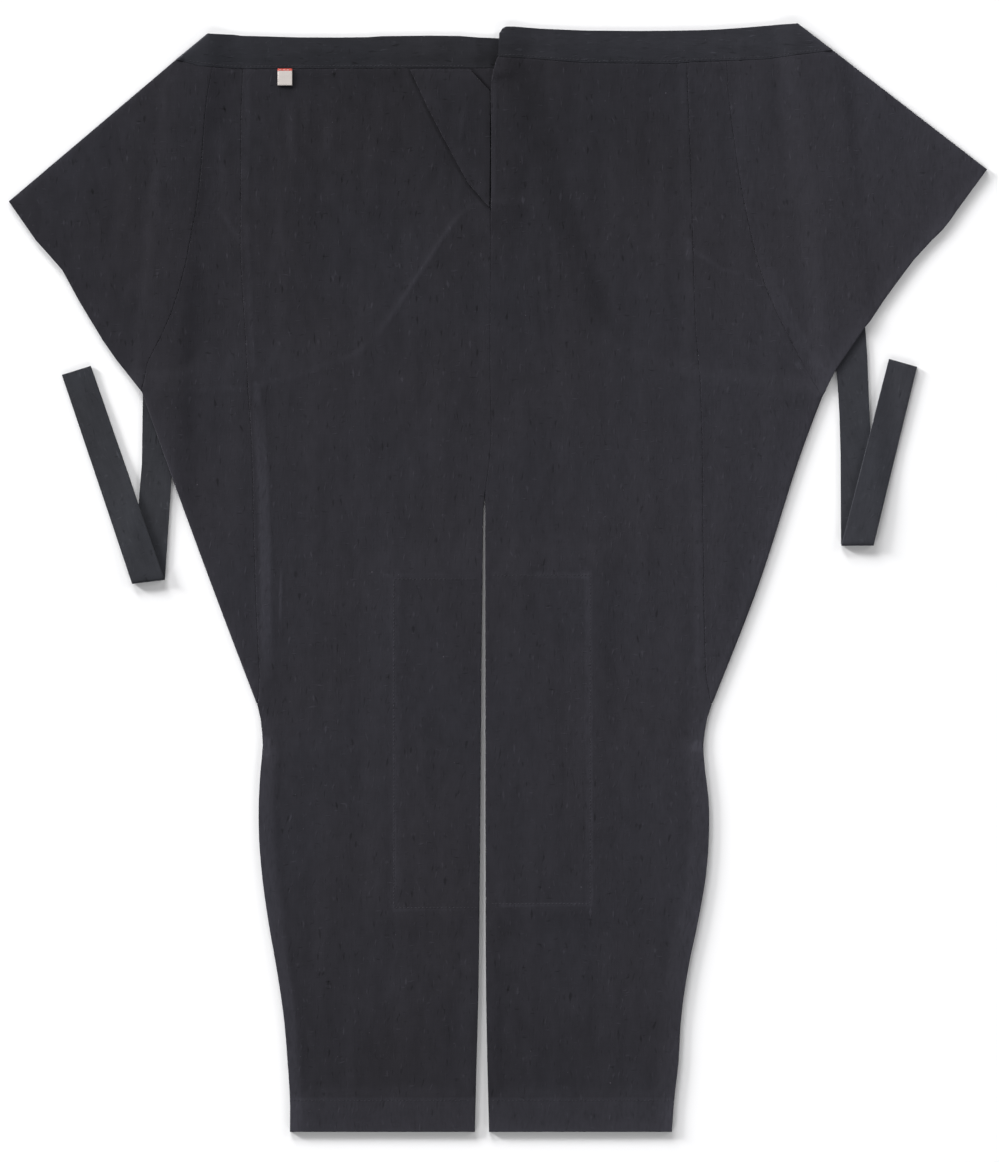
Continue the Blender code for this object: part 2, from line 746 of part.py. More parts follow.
def make_knee_patch(side):
    name = f"knee_patch_{SIDE_NAMES[side]}"
    lay(name, side, patch_outline(side), patch_floor, [], COTTON_FINISH)


def make_facing():
    breaks = back_breaks(LEFT) + back_breaks(RIGHT)
    lay("front_facing", LEFT, np.array(FACING), on_left_front, breaks, COTTON_FINISH)


def make_label():
    outer, inner, low, high = LABEL
    outline = on_side(LEFT, [(outer, low), (inner, low), (inner, high), (outer, high)])
    lay("size_label", LEFT, outline, on_left_front, [], LABEL_FINISH, wall=LABEL_WALL)


def clear_scene():
    for each in list(bpy.data.objects):
        bpy.data.objects.remove(each, do_unlink=True)


def middle_of_the_box():
    """Where the outline's box has the middle of its base, in metres."""
    low, high = -WING_TIP[LEFT][0], WING_TIP[RIGHT][0]
    length = BAND_TOP[RIGHT][-1][1]
    return ((low + high) / 2 * MM, length / 2 * MM)


clear_scene()
garment = bpy.data.collections.new("momohiki_trousers")
bpy.context.scene.collection.children.link(garment)
centre = bpy.data.objects.new("momohiki_centre", None)
garment.objects.link(centre)
middle_across, middle_height = middle_of_the_box()
centre.location = (-middle_across, -middle_height, 0)

for side in (LEFT, RIGHT):
    make_front(side)
    make_back(side)
    make_wing(side)
    make_waistband(side)
    make_tie(side)
    make_knee_patch(side)
make_facing()
make_label()
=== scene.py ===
"""Looks of the momohiki trousers: fine cloth shells on the forms of the solids, sewing, materials, light and camera.

Sizes are in millimetres until an object is made. A place is (across, height), as in the solids' source. Across runs
from the centre seam, left negative, and height runs up from the hem. A reach is a distance across, on either side.
"""

from collections import namedtuple
from math import ceil, cos, hypot, pi, radians, sin

import bpy
import numpy as np
from mathutils.geometry import delaunay_2d_cdt
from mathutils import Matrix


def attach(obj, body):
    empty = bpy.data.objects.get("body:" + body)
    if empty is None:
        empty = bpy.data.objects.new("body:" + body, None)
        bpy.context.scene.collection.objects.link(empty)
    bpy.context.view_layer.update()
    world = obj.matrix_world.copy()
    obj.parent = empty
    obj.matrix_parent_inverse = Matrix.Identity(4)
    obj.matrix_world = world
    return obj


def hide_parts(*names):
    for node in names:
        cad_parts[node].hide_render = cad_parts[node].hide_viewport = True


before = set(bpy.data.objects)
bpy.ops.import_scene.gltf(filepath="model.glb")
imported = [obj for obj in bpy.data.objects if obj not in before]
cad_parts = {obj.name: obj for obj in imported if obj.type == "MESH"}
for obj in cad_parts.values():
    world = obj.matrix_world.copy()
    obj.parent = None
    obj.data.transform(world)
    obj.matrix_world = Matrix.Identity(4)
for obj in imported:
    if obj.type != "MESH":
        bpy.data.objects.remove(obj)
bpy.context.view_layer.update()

MM = 0.001
LEFT, RIGHT = SIDES = (0, 1)
SIGN = (-1, 1)
SIDE_NAMES = ("left", "right")
MIDDLE = (12.1, 498.25)  # the row frame's origin, as a place

# Walls, what doubled cloth adds to them, and what is left open between layers and at folds
CLOTH = 1.0
TAPE = 1.8
PATCH_WALL = 0.6
LABEL_WALL = 0.9
DOUBLED = 0.36
GAP = 0.3
HALF_GAP = 0.03  # half of what is left open along a seam
SEAM_GAP = 2 * HALF_GAP
NEAR_FOLD = 2.6
FOLD_CLEARANCE = 1.0

# Fineness of the shells
EDGE_STEP = 24.0
CURVE_STEP = 12.0
RIM_STEP = 3.0
BEND_STEP = 0.6
ROW_STEP = 5.0
TOP_GRID = 4.0
HIDDEN_GRID = 9.0
GRID_ROWS = 0.866  # height of a triangle of the grid, as a part of its side
CROWDED = 0.42  # grid places nearer than this part of the grid's spacing to others are left out
BEND_ROWS = 8
MERGE = 0.02
TOLERANCE = 1e-6
ROUNDING = 0.22  # radius that the cloth's edges are rounded to
RING_DEPTHS = (0.05, 0.14, 0.5, 1.6)

# How a cover comes down beside what it covers: distances from the covered edge where the slope starts and ends
SHEET_SLOPE = (0.3, 32.0)
SHARP_SLOPE = (0.3, 6.5)
BACK_SLOPE = ((0.3, 45.0), (0.3, 19.0))
TAPE_SLOPE = (0.3, 26.0)
PATCH_SLOPE = (0.2, 32.0)
DOUBLED_SLOPE = 11.0
SHARP_PART = 0.22  # of the lift over the left back layer's diagonal edge, the share that comes at once
SHARP_REACH = (112.0, 38.0)  # up to this reach, and the width over which that ends

# How far the hems and turnings are doubled, and the heights between which the turnings' doubling ends
HEM_HEIGHT = 30.0
TURNING, TURNING_TOP = 9.0, (330.0, 365.0)
INNER_TURNING, INNER_TURNING_TOP = 6.0, (500.0, 579.0)


def on_side(side, points):
    """Places on one side from reaches and heights."""
    return np.reshape(points, (-1, 2)) * (SIGN[side], 1.0)


def by_side(*tables):
    return [on_side(side, table) for side, table in enumerate(tables)]


# Edges of the legs and panels: height, left reach, right reach
OUTER_EDGE = (
    (0, 175, 168.5), (30, 175, 170.7), (60, 176.9, 174.2), (103, 180.5, 176.9), (147, 187, 183.2),
    (190, 194.5, 192.2), (233, 200.3, 199.4), (265, 202.8, 201.8), (300, 202.9, 201.5), (325, 201.5, 198.5),
    (350, 199.4, 196.8), (372, 201.5, 200.4),
)
INNER_EDGE = ((0, 8.6, 4.1), (60, 7.2, 2.6), (120, 5.6, 1.5), (250, 4.1, 0.9), (450, 2.5, 0.8), (560, 1.2, 0.6))
SIDE_SEAM = (
    (387, 203.8, 203.4), (398, 202.6, 200.6), (412, 202.4, 199.2), (440, 203.9, 198.4), (530, 207.3, 196.9),
    (622, 209.7, 195.9), (672, 212.9, 194.3), (719, 215.3, 190.4), (795, 219.6, 187.9), (840, 219.3, 186.6),
    (922, 219, 183.6), (956, 217.4, 182.1),
)
WING_SEAM = (
    (692, 303, 286), (724, 286.6, 269), (769, 271.4, 250), (811, 263, 239), (827, 259.6, 235.4),
    (868, 254.8, 228.1), (899, 252.5, 223.8), (928, 250, 220.2), (957, 244.4, 217.9),
)
CENTRE_SEAM = ((579, 0.9), (600, 4), (700, 5), (831, 5.6))
OPENING_EDGE = ((831, 6), (900, 6.1), (947, 6.6), (958, 8.6), (965, 11))
CROTCH_HEIGHT = 579.0
BACK_TOP = 831.0
UNDERLAP_REACH = 18.0
UNDERLAP_RISE = 14.0

# Other lines, left and right, as reach, height, reach, height and so on. The waistband's run from the centre outward.
BAND_SEAM = by_side(
    (-18, 957, 67, 957, 220, 956.3, 256, 958.5, 277.7, 964.4),
    (12.6, 967, 40, 965.8, 89.5, 961.8, 170.5, 961, 189, 962.6, 251.5, 964.9, 313.6, 972.8),
)
BAND_TOP = by_side(
    (
        -18, 983.6, -10.4, 983.8, 5.9, 984.5, 22.1, 985.8, 49.1, 986.1, 92.3, 985.6, 104.9, 984.7, 130.1, 984.4,
        166.1, 984.5, 203.9, 985.6, 219.2, 986, 225.5, 986.9, 249.6, 987.7,
    ),
    (
        13.2, 987.8, 16.2, 992.4, 19.4, 994.1, 26.6, 994.2, 50, 992.4, 68, 991.6, 90.5, 990.7, 140, 990.3, 162.5,
        990.5, 194, 991, 212, 991.8, 230, 993, 266, 996, 282.3, 996.8,
    ),
)
THIGH_FOLD = by_side((204.9, 385, 308.2, 665.6), (204.9, 385, 303.8, 661))
THIGH_BULGE = ((1.3,), (2.1, 1.5, -0.5))  # weights of one, two and three waves along the thigh fold
FOOT_INSET = 0.5  # from the thigh fold's foot to the corner of the front beside it
WING_TIP = by_side((428, 837), (452.2, 865.8))
# The wings' lower edges, how they end in the upper layer, and how in the flap folded under it
HEM_ROWS = by_side(
    (403.6, 801.9, 395.5, 792.9, 387.5, 783.9, 379.7, 774.9, 374.7, 765.9, 365, 747.9, 343.3, 711.9, 330.8, 693.9),
    (425.1, 828.9, 419, 819.9, 411.8, 810.9, 402.4, 801.9, 385.9, 783.9, 372.4, 765.9, 359.3, 747.9, 347.5, 729.9),
)
HEM_FOOT = by_side((), (342.3, 723.6, 315.6, 685))
FLAP_FOOT = by_side((311.8, 673), (343.8, 725.6))
# The hidden tape, from the waistband's fold to the tie's crease
TAPE_OUTER = by_side(
    (277.7, 964.4, 307.2, 677, 308.2, 600.8, 310, 579, 316.8, 492.8),
    (313.6, 972.8, 342, 731, 344.3, 698, 346, 655, 348, 610, 349.8, 527.2),
)
TAPE_INNER = by_side(
    (249.6, 987.7, 280.5, 677, 281.6, 600.8, 282.2, 579, 287.6, 496.4),
    (282.3, 996.8, 315.2, 695, 317.6, 675, 319.4, 645, 320.4, 610, 320.8, 527.1),
)
BAND_ROWS = 2  # its places on each side that belong to the waistband. The others are the tie's.
TIE_END = by_side((380.2, 680.9, 354.2, 689), (389.2, 688.1, 364, 695.3))
TIE_UNDER_LEG = (True, False)
BACK_EDGE = by_side(
    (9, 831.5, 27, 815.9, 67, 757.4, 109.4, 701.6, 150, 682, 205.7, 669.2, 260, 666.6),
    (22, 831, 45, 826, 68, 808, 96, 745, 118, 703, 150, 686, 240, 667),
)
PATCH = ((84.0, 199.5, 499.5), (97.5, 203.0, 503.0))  # reach, lower and upper edge
PATCH_INSET = 1.6
FACING = np.reshape((
    5, 936.1, -13, 955.4, -67, 955.4, -49.7, 918.5, -35.1, 890.8, -23.2, 868.3, -14, 852.5, 4.6, 831.2, 5.1, 880,
), (-1, 2))  # places
LABEL = (186.0, 173.0, 941.3, 956.2)  # outer and inner reach, lower and upper edge

# Creases and pressed ridges of the upper layer: lift, half width of the flat top, width of the slope, length of the
# fade at the ends, how much they are painted lighter, as rubbed cloth with painted highlight, then places along it.
# They are as uneven in length, lift and spacing as on the real cloth.
LIFT, RUB_HIGHLIGHT = 0, 4
CREASES = (
    # ridges over the edges of the hidden back layer
    (0.08, 0.5, 2.7, 40, 0.14, (-13.6, 832.9, -29.8, 815.2, -67.4, 757.6, -106, 699)),
    (0.05, 0.6, 4.5, 40, 0.06, (-104, 706, -157.1, 683.6, -205.7, 669.1, -256.1, 666.5, -303, 666.5)),
    (0.08, 0.6, 4.5, 30, 0.06, (183, 676, 239, 663.8, 297, 656.5)),
    # short pulls beside the side seams
    (0.12, 0.5, 3, 16, 0.12, (184.1, 795.1, 213.8, 775.4, 233.6, 770.9, 254.2, 753.8)),
    (0.14, 0.5, 3.5, 16, 0.12, (-240.8, 833.9, -212.8, 791.6)),
    # the pressed ridge beside the left side seam, and a short one by the knee
    (0.16, 2.6, 4.5, 60, 0.3, (-205.5, 676, -201, 622.4, -198.2, 568.4, -196.6, 514.4, -195, 388.4)),
    (0.1, 0.4, 1.6, 10, 0.26, (-182.4, 510, -183.6, 455)),
    # soft upright folds of the upper left front
    (0.26, 1, 6, 40, 0.08, (-172.3, 941, -172.8, 895, -171, 846)),
    (0.18, 0.8, 5, 25, 0.06, (-159.8, 936, -160.5, 893)),
    (0.22, 1, 7, 30, 0.06, (-139.1, 918, -140.2, 860)),
    (0.22, 1.2, 8, 40, 0, (-98, 900, -102, 800, -97, 742)),
    (0.16, 1, 9, 40, 0, (-60, 640, -56, 520)),
    (0.16, 1.2, 9, 60, 0, (-128, 600, -136, 420, -132, 330)),
    # and of the right one
    (0.16, 0.8, 4.5, 40, 0.04, (53, 815.9, 54, 760, 57.1, 698)),
    (0.12, 0.8, 4.5, 30, 0.04, (63.6, 815.9, 62.6, 721.4)),
    (0.16, 1, 7, 40, 0, (118, 930, 121, 850, 116, 800)),
    (0.18, 1, 8, 50, 0, (160, 900, 158, 790, 163, 720)),
    (0.16, 1.2, 9, 60, 0, (140, 560, 146, 400, 141, 300)),
    (0.14, 1, 8, 40, 0, (60, 170, 57, 70)),
    # soft bows across the legs, left from folding for storage
    (0.08, 2, 9, 50, 0.04, (-196, 343, -150, 347, -90, 344)),
    (0.06, 2, 9, 50, 0.03, (100, 350, 150, 346, 190, 348)),
    # wings
    (0.12, 1, 8, 30, 0, (-300, 880, -330, 800, -335, 745)),
    (0.14, 1, 9, 30, 0, (-352, 850, -372, 800)),
    (0.1, 1, 8, 30, 0, (300, 905, 322, 830, 330, 770)),
    (0.1, 1, 9, 30, 0, (372, 880, 385, 825)),
    # small gathers that cross the right waistband by the wing's seam
    (0.22, 0.3, 1.6, 8, 0, (229.8, 990, 231, 968, 230.4, 948)),
    (0.18, 0.3, 1.5, 8, 0, (245, 991, 246.5, 975, 245, 966)),
    # rolled edge of the right front beside the opening
    (0.16, 0.8, 2.6, 12, 0.12, (13.8, 962, 11.6, 957, 9.6, 947, 8.8, 900, 8.7, 833)),
    # soft fold inside the facing
    (0.14, 0.8, 3.5, 12, 0.06, (-13.1, 937.4, -19.4, 907.6, -22.9, 883.4)),
)

# Lines painted lighter that are no creases, as rubbed cloth with painted highlight, and painted light where the cloth
# lies in shade: strength, half width, softness, places along it
RUBS_AND_HIGHLIGHTS = (
    # beside the side seams, over the ends of their turnings
    (0.13, 1.6, 3, (-212.8, 955, -214.2, 900, -214.8, 840)),
    (0.16, 1.2, 2.6, (-214.6, 815, -211.6, 760, -208.6, 690)),
    (0.1, 3, 3, (180, 955, 182, 905)),
    (0.26, 1.6, 2, (183.6, 800, 184, 786)),
    (0.3, 1.8, 2.4, (-205.4, 672, -204.2, 655)),
    # below the right wing's seam
    (0.07, 3.6, 3, (226.6, 930, 229.5, 886, 243.5, 812, 252, 784)),
    (0.12, 3.8, 3.4, (252, 784, 262, 755)),
    (0.17, 4, 3.4, (262, 755, 290, 701, 302, 684)),
    (0.34, 1.4, 1.4, (281.5, 690.5, 283, 688)),
    (0.34, 1.4, 1.4, (302, 689, 304, 686.5)),
    # at the knees, where the straight edges end
    (0.62, 4, 3, (190.8, 347, 196, 346.2)),
    (0.58, 3.2, 3, (-197.6, 352, -195.8, 340)),
    (0.1, 3, 3, (193, 565, 194, 400)),
    # the corners of the hems
    (0.28, 2.6, 4, (-168.5, 30, -168.5, 8)),
    (0.2, 2.6, 4, (163, 30, 163, 6)),
    # over the left patch's edges, a broad pressed band with a thin line in it
    (0.13, 3.2, 3.6, (-81, 500, -80.6, 440)),
    (0.09, 2.6, 3.6, (-80.6, 440, -80, 203)),
    (0.2, 0.5, 1.2, (-82.4, 496, -81.7, 440)),
    (0.3, 0.5, 1.2, (-81.7, 440, -81.4, 350, -80.6, 222)),
    (0.16, 0.9, 1.8, (-87, 500.6, -66, 500.6)),
    (0.06, 1.4, 3, (-66, 500, -9, 500)),
    (0.2, 0.8, 1.6, (-82, 204, -80.8, 199.4, -64, 200.4)),
    (0.09, 0.8, 2, (-64, 200.4, -9, 201)),
    # and over the right patch's
    (0.15, 2, 2.4, (93.2, 503, 94.2, 205)),
    (0.18, 0.5, 1.2, (95.6, 440, 96, 350)),
    (0.32, 0.5, 1.2, (96, 350, 96.6, 208)),
    (0.42, 1.6, 2.6, (89.5, 500.6, 92.5, 499.6)),
    (0.18, 1.4, 2.6, (48, 501.5, 89, 500)),
    (0.06, 1.6, 3, (8, 501.5, 48, 501.5)),
    (0.42, 1.2, 1.8, (93.5, 206, 96, 204.6)),
    (0.26, 0.7, 1.8, (16, 203.8, 52, 204.6, 95, 205)),
    # painted light on the strip beside the left wing's seam, whose slope lies in shade, and on the right waistband's
    # middle
    (0.12, 5, 7, (-240, 900, -243, 850, -248, 810, -256, 785)),
    (0.12, 9, 8, (36, 979, 220, 979)),
)

# Painted shade in crevices, slits, hollows and beside raised edges: strength, half width, softness, places along it
LEFT_FRONT_SHADES = (
    (0.34, 0.7, 1.8, (-68.4, 956.8, -51.1, 917.8, -36.4, 890.2, -24.4, 867.6, -15, 851.6, 2.2, 832)),
    (0.3, 0.8, 1.6, (-12, 956.8, 2.4, 940.2)),
    (0.08, 2, 8, (-76, 952, -56, 915, -42, 888, -22, 850)),
)
FACING_SHADES = ((0.16, 0.3, 4.6, (4.6, 938, 4.7, 880, 4.4, 833)),)
LEFT_BAND_SHADES = (
    (0.22, 9, 0.8, (1.8, 954, 1.8, 986)),
    (0.4, 1, 7, (9, 954, 9, 986)),
)
COMMON_SHADES = (
    (0.1, 26, 40, (-180, 58, 180, 58)),
    (0.06, 0.3, 0.9, (-176, 31.6, 176, 31.6)),
    # painted shade in the soft hollow beside the hidden layer's edge on the right
    (0.19, 6, 11, (44, 930, 53, 884.1, 74, 810.9, 91, 760, 104, 730)),
    (0.13, 1.5, 5, (46, 806, 48, 760, 50, 715)),
    (0.1, 1.5, 5, (58.5, 806, 59, 730)),
)

# Painted shade, darker fronts above a height between the side seams: by how much, height and softness, reach and
# softness
TOP_SHADE = 0.11
TOP_SHADE_HEIGHT = (780.0, 130.0)
TOP_SHADE_REACH = (165.0, 60.0)
# Painted shade along the seams, where the pieces meet: how dark, and how far in from the edge
SEAM_SHADE, SEAM_SHADE_WIDTH = 0.10, 0.9

# How much the outlines' edges are painted lighter, as rubbed cloth with painted highlight, left and right, and how
# far in: at the leg, the thigh, the wing's lower edge, its diagonal, the waistband and the hem
EDGE_RUB_HIGHLIGHT = ((0.26, 0.20, 0.06, 0.10, 0.12, 0.10), (0.36, 0.34, 0.30, 0.16, 0.05, 0.22))
EDGE_HIGHLIGHT_REACH = 8.0
# How much lighter the doubled hem and the lower outer turnings are painted, as rubbed cloth with painted highlight
HEM_RUB_HIGHLIGHT, HEM_HIGHLIGHT_SOFTNESS = 0.19, 2.0
TURNING_RUB_HIGHLIGHT = (0.24, 0.08)
TURNING_HIGHLIGHT_WIDTHS = ((150.0, 8.5), (200.0, 12.5))  # heights, and how wide the lighter band of rub and painted highlight is there
TURNING_HIGHLIGHT_SOFTNESS = 4.5

# Painted light: the cloth is painted lighter to the right and downward, where the light is stronger: how much, from
# where, and over which distance. Toward the hem the second sinks to a share of itself, from this height up.
LIGHTER_ACROSS = (0.29, -20.0, 480.0)
LIGHTER_DOWN = (0.115, 850.0, 300.0)
LIGHTER_DOWN_NEAR_HEM = (0.4, 60.0, 300.0)
UNDERSIDE_MARKS = 0.7  # how much of the upper face's rubs, painted light and painted shade the ties' other face takes

# Turnings of the seams, pressed to one side, lift the cloth beside them: lift, width
SIDE_TURNING = (0.13, 8.5)
WING_TURNING = (0.04, 8.5)
BAND_TURNING = (0.08, 8.0)
ROLLED_HEM = (0.16, 4.5)
TURNING_SOFTNESS = 4.4

# Long soft waves of the cloth: lift, length of a wave across, length of a wave upward, phase
WAVES = ((0.10, 61.0, 830.0, 0.3), (0.08, 37.0, -540.0, 2.1), (0.07, 140.0, 260.0, 4.4), (0.05, 23.0, 900.0, 1.2))
WAVE_BASE = 0.28
WAVE_MARGIN = 30.0  # the waves die out this near the outline

# Stitches: their length and pitch, where a row starts, how unevenly they are spaced, and the thread as rings of part
# of the length, share of the radius and sinking
STITCH_LENGTH = 2.5
STITCH_PITCH = 3.4
STITCH_START = 0.4
STITCH_UNEVEN = 0.18
THREAD_RADIUS = 0.17
THREAD_SIDES = 6
THREAD = ((0.0, 0.5, 0.32), (0.12, 0.85, 0.02), (0.5, 1.0, -0.04), (0.88, 0.85, 0.02), (1.0, 0.5, 0.32))

# Rows of stitches: how far inside an edge they run, the height of the hem's, and how far short of an end they stop
PATCH_STITCH = 2.4
TAPE_STITCH = 2.2
LABEL_STITCH = 1.0
HEM_STITCH = 28.5
HEM_STITCH_END = 2.0
BAND_STITCH_ENDS = (2.0, 10.0)
TIE_STITCH_ENDS = (7.0, 2.0)

THINNING_START = 4.0  # the waistband isn't pressed thin this near its fold

# Colours of the dyed cotton, its folded tapes, and the label
COTTON = (0.0164, 0.0159, 0.0198)
TAPE_COTTON = (0.0176, 0.0181, 0.0220)
TIE_COTTON = (0.0242, 0.0257, 0.0298)
# the lighter, bluer colour that rubbed cloth and painted highlights take
RUBBED_AND_LIT = (0.059, 0.0580, 0.073)
SPECK = (0.11, 0.10, 0.12)
WARM, COOL = (1.05, 0.99, 0.97), (0.97, 1.01, 1.06)  # tints of the slow colour changes
LABEL_WHITE, LABEL_CREAM = (0.50, 0.45, 0.43), (0.55, 0.54, 0.50)
LABEL_RED, LABEL_CRIMSON = (0.50, 0.07, 0.05), (0.40, 0.04, 0.03)
SELVEDGE = (2.1, 1.7)  # from the label's upper edge to where its red begins and is full
THREAD_COLOUR = (0.021, 0.020, 0.026)
FLOOR_WHITE = (0.86, 0.86, 0.87)

# The cotton's soft noises: how fine across and along the grain, offset, detail, then how much they change the
# brightness and the height
SOFT_NOISES = (
    (28, 13, 0, 0, 3, 0.36, 0),
    (110, 48, 5, 2, 2, 0.52, 0),
    (760, 60, 1, 1, 1, 0.20, 0.5),
    (60, 900, 4, 4, 1, 0.14, 0.3),
)
TINT_NOISE = (9, 7, 2, 6, 1)
CROWDING_NOISE = (70, 40, 9, 4, 1)
# unevenness of the rubs and painted highlights
RUB_HIGHLIGHT_NOISE = (420, 110, 8, 8, 2)
SPECK_NOISE = (420, 420, 3, 8, 0)
# Its thick yarns, light and dark, along and across the grain: the same, with where they start and are full after detail
YARN_NOISES = (
    (380, 115, 11, 3, 0, 0.68, 0.88, 0.62, 0.8),
    (380, 105, 2, 17, 0, 0.665, 0.85, -0.52, -0.5),
    (130, 460, 7, 9, 0, 0.72, 0.89, 0.50, 0.6),
    (130, 460, 19, 1, 0, 0.71, 0.89, -0.45, -0.4),
)

# Soft square lights: name, direction in degrees from +X, degrees above the floor, distance and size in metres, and
# the floor's irradiance from it
LIGHTS = (
    ("key_low", 149, 11, 20.0, 3.4, 1.15),
    ("key_middle", 112, 14, 20.0, 5.0, 0.78),
    ("key_top", 94, 19, 20.0, 5.0, 0.46),
    ("fill_above", 30, 18, 12.0, 4.0, 0.36),
    ("fill_left", 236, 20, 12.0, 4.0, 0.38),
    ("fill_below", -62, 18, 12.0, 4.0, 0.40),
)
WORLD_LIGHT = 0.12
FLOOR = (6.0, -0.0001)  # half its side, and its height, in metres
FRAME_HEIGHT = 1045.8  # what the image covers upward on the surface, in millimetres
FRAME_CENTRE = (1.4, -2.8)  # its middle in the row frame
LENS = 120.0
SENSOR = 36.0


# Edges as lists of places


def joined(*parts):
    return np.vstack([np.reshape(part, (-1, 2)) for part in parts]).astype(float)


def closed(outline):
    return joined(outline, outline[:1])


def smooth(rows, column=1, step=CURVE_STEP):
    """Places on the curve through a table whose first column is the height, from the hem upward."""
    heights, values = np.array(rows, float)[:, (0, column)].T
    slopes = np.gradient(values, heights)
    at = np.linspace(heights[0], heights[-1], ceil((heights[-1] - heights[0]) / step) + 1)
    i = np.clip(np.searchsorted(heights, at, side="right") - 1, 0, len(heights) - 2)
    span = heights[i + 1] - heights[i]
    f = (at - heights[i]) / span
    before = (1 - f) ** 2 * ((1 + 2 * f) * values[i] + f * span * slopes[i])
    after = f**2 * ((3 - 2 * f) * values[i + 1] - (1 - f) * span * slopes[i + 1])
    return np.column_stack([before + after, at])


def leg_edge(side, rows, step=CURVE_STEP):
    return on_side(side, smooth(rows, 1 + side, step))


def sampled(points, step):
    """The same line with further places, so that none lie more than a step apart."""
    out = [points[0]]
    for start, end in zip(points[:-1], points[1:]):
        count = ceil(hypot(*(end - start)) / step)
        out += [start + (end - start) * i / count for i in range(1, count + 1)]
    return np.array(out)


def left_of(steps):
    """Unit vectors square to some steps, on their left."""
    return np.column_stack([-steps[:, 1], steps[:, 0]]) / np.hypot(*steps.T)[:, None]


def beside(line, distance, loop=False):
    """The line moved to its left by a distance, with mitred corners."""
    if loop:
        ahead, behind = np.roll(line, -1, axis=0) - line, line - np.roll(line, 1, axis=0)
    else:
        steps = np.diff(line, axis=0)
        ahead, behind = np.vstack([steps, steps[-1:]]), np.vstack([steps[:1], steps])
    normal = left_of(ahead)
    middle = normal + left_of(behind)
    middle /= np.hypot(*middle.T)[:, None]
    return line + middle * distance / (middle * normal).sum(axis=1)[:, None]


def band_height(side, reach):
    reaches, heights = (BAND_SEAM[side] * (SIGN[side], 1)).T
    return np.interp(reach, reaches, heights)


def under_band(side, start, end):
    """The edge of a panel under the waistband's seam, from one reach to another."""
    low, high = sorted((start, end))
    between = [reach for reach in BAND_SEAM[side][:, 0] * SIGN[side] if low < reach < high]
    reaches = sorted([low, high] + between, reverse=bool(start > end))
    return on_side(side, [(reach, band_height(side, reach) - SEAM_GAP) for reach in reaches])


def back_edge(side):
    """Upper edge of the hidden back layer, from the centre to the thigh fold's top."""
    rows = joined((0, BACK_TOP), BACK_EDGE[side], THIGH_FOLD[side][1]) * (SIGN[side], 1)
    return on_side(side, smooth(rows)[:, ::-1])


def tape_outline(side):
    return joined(TAPE_OUTER[side], TAPE_INNER[side][::-1])


def flap_outline(side):
    return joined(BAND_SEAM[side][-1], WING_TIP[side], HEM_ROWS[side], FLAP_FOOT[side])


def wing_hem(side):
    return joined(HEM_ROWS[side], HEM_FOOT[side])


def back_outline(side):
    """The hidden back layer as it lies under the leg."""
    crotch = on_side(side, (0, CROTCH_HEIGHT))
    return joined(back_edge(side), leg_edge(side, OUTER_EDGE)[::-1], leg_edge(side, INNER_EDGE), crotch)


def patch_outline(side):
    width, low, high = PATCH[side]
    inner = leg_edge(side, INNER_EDGE, EDGE_STEP)
    inner = inner[(inner[:, 1] > low) & (inner[:, 1] < high)]
    ends = np.interp((low, high), inner[:, 1], inner[:, 0])
    inner = joined((ends[0], low), inner, (ends[1], high)) + (SIGN[side] * PATCH_INSET, 0)
    return joined(inner, on_side(side, (width, high, width, low)))


def underlap_outline():
    """The left front past the centre seam, under the right front."""
    top = BAND_SEAM[LEFT][0][1] - SEAM_GAP
    inner, rise = OPENING_EDGE[0][1], BACK_TOP + UNDERLAP_RISE
    return np.array([(inner, BACK_TOP), (UNDERLAP_REACH, rise), (UNDERLAP_REACH, top), (inner, top)])


def band_end_outline():
    """The left waistband's end, under the right one."""
    reach, low, high = UNDERLAP_REACH, BAND_SEAM[LEFT][0][1], BAND_TOP[LEFT][0][1]
    return np.array([(-reach, low), (reach, low), (reach, high), (-reach, high)])


# Heights of what lies on what


def ease(t):
    """0 below 0, 1 above 1, and a soft step between."""
    t = np.clip(t, 0, 1)
    return t * t * (3 - 2 * t)


def within(distance, start, softness):
    """1 up to a distance, 0 from a softness further on, and a soft step between."""
    return 1 - ease((distance - start) / softness)


def nearest(points, line):
    """Distance from each place to a line, and how far along the line its nearest point lies."""
    best = np.full(len(points), np.inf)
    along = np.zeros(len(points))
    passed = 0.0
    for start, end in zip(line[:-1], line[1:]):
        step = end - start
        length = hypot(*step)
        part = np.clip(((points - start) @ step) / length**2, 0, 1)
        distance = np.hypot(*(points - start - part[:, None] * step).T)
        nearer = distance < best
        best = np.where(nearer, distance, best)
        along = np.where(nearer, passed + part * length, along)
        passed += length
    return best, along


def inside(points, outline):
    """Whether each place lies inside an outline."""
    found = np.zeros(len(points), bool)
    for (x0, y0), (x1, y1) in zip(outline, np.roll(outline, -1, axis=0)):
        crosses = (y0 > points[:, 1]) != (y1 > points[:, 1])
        with np.errstate(divide="ignore", invalid="ignore"):
            found ^= crosses & (points[:, 0] < (x1 - x0) * (points[:, 1] - y0) / (y1 - y0) + x0)
    return found


def share(points, outline, slope):
    """The share of its full lift that a cover has at each place, beside the thing it covers."""
    start, end = slope
    outside = np.where(inside(points, outline), 0.0, nearest(points, closed(outline))[0])
    return within(outside, start, end - start)


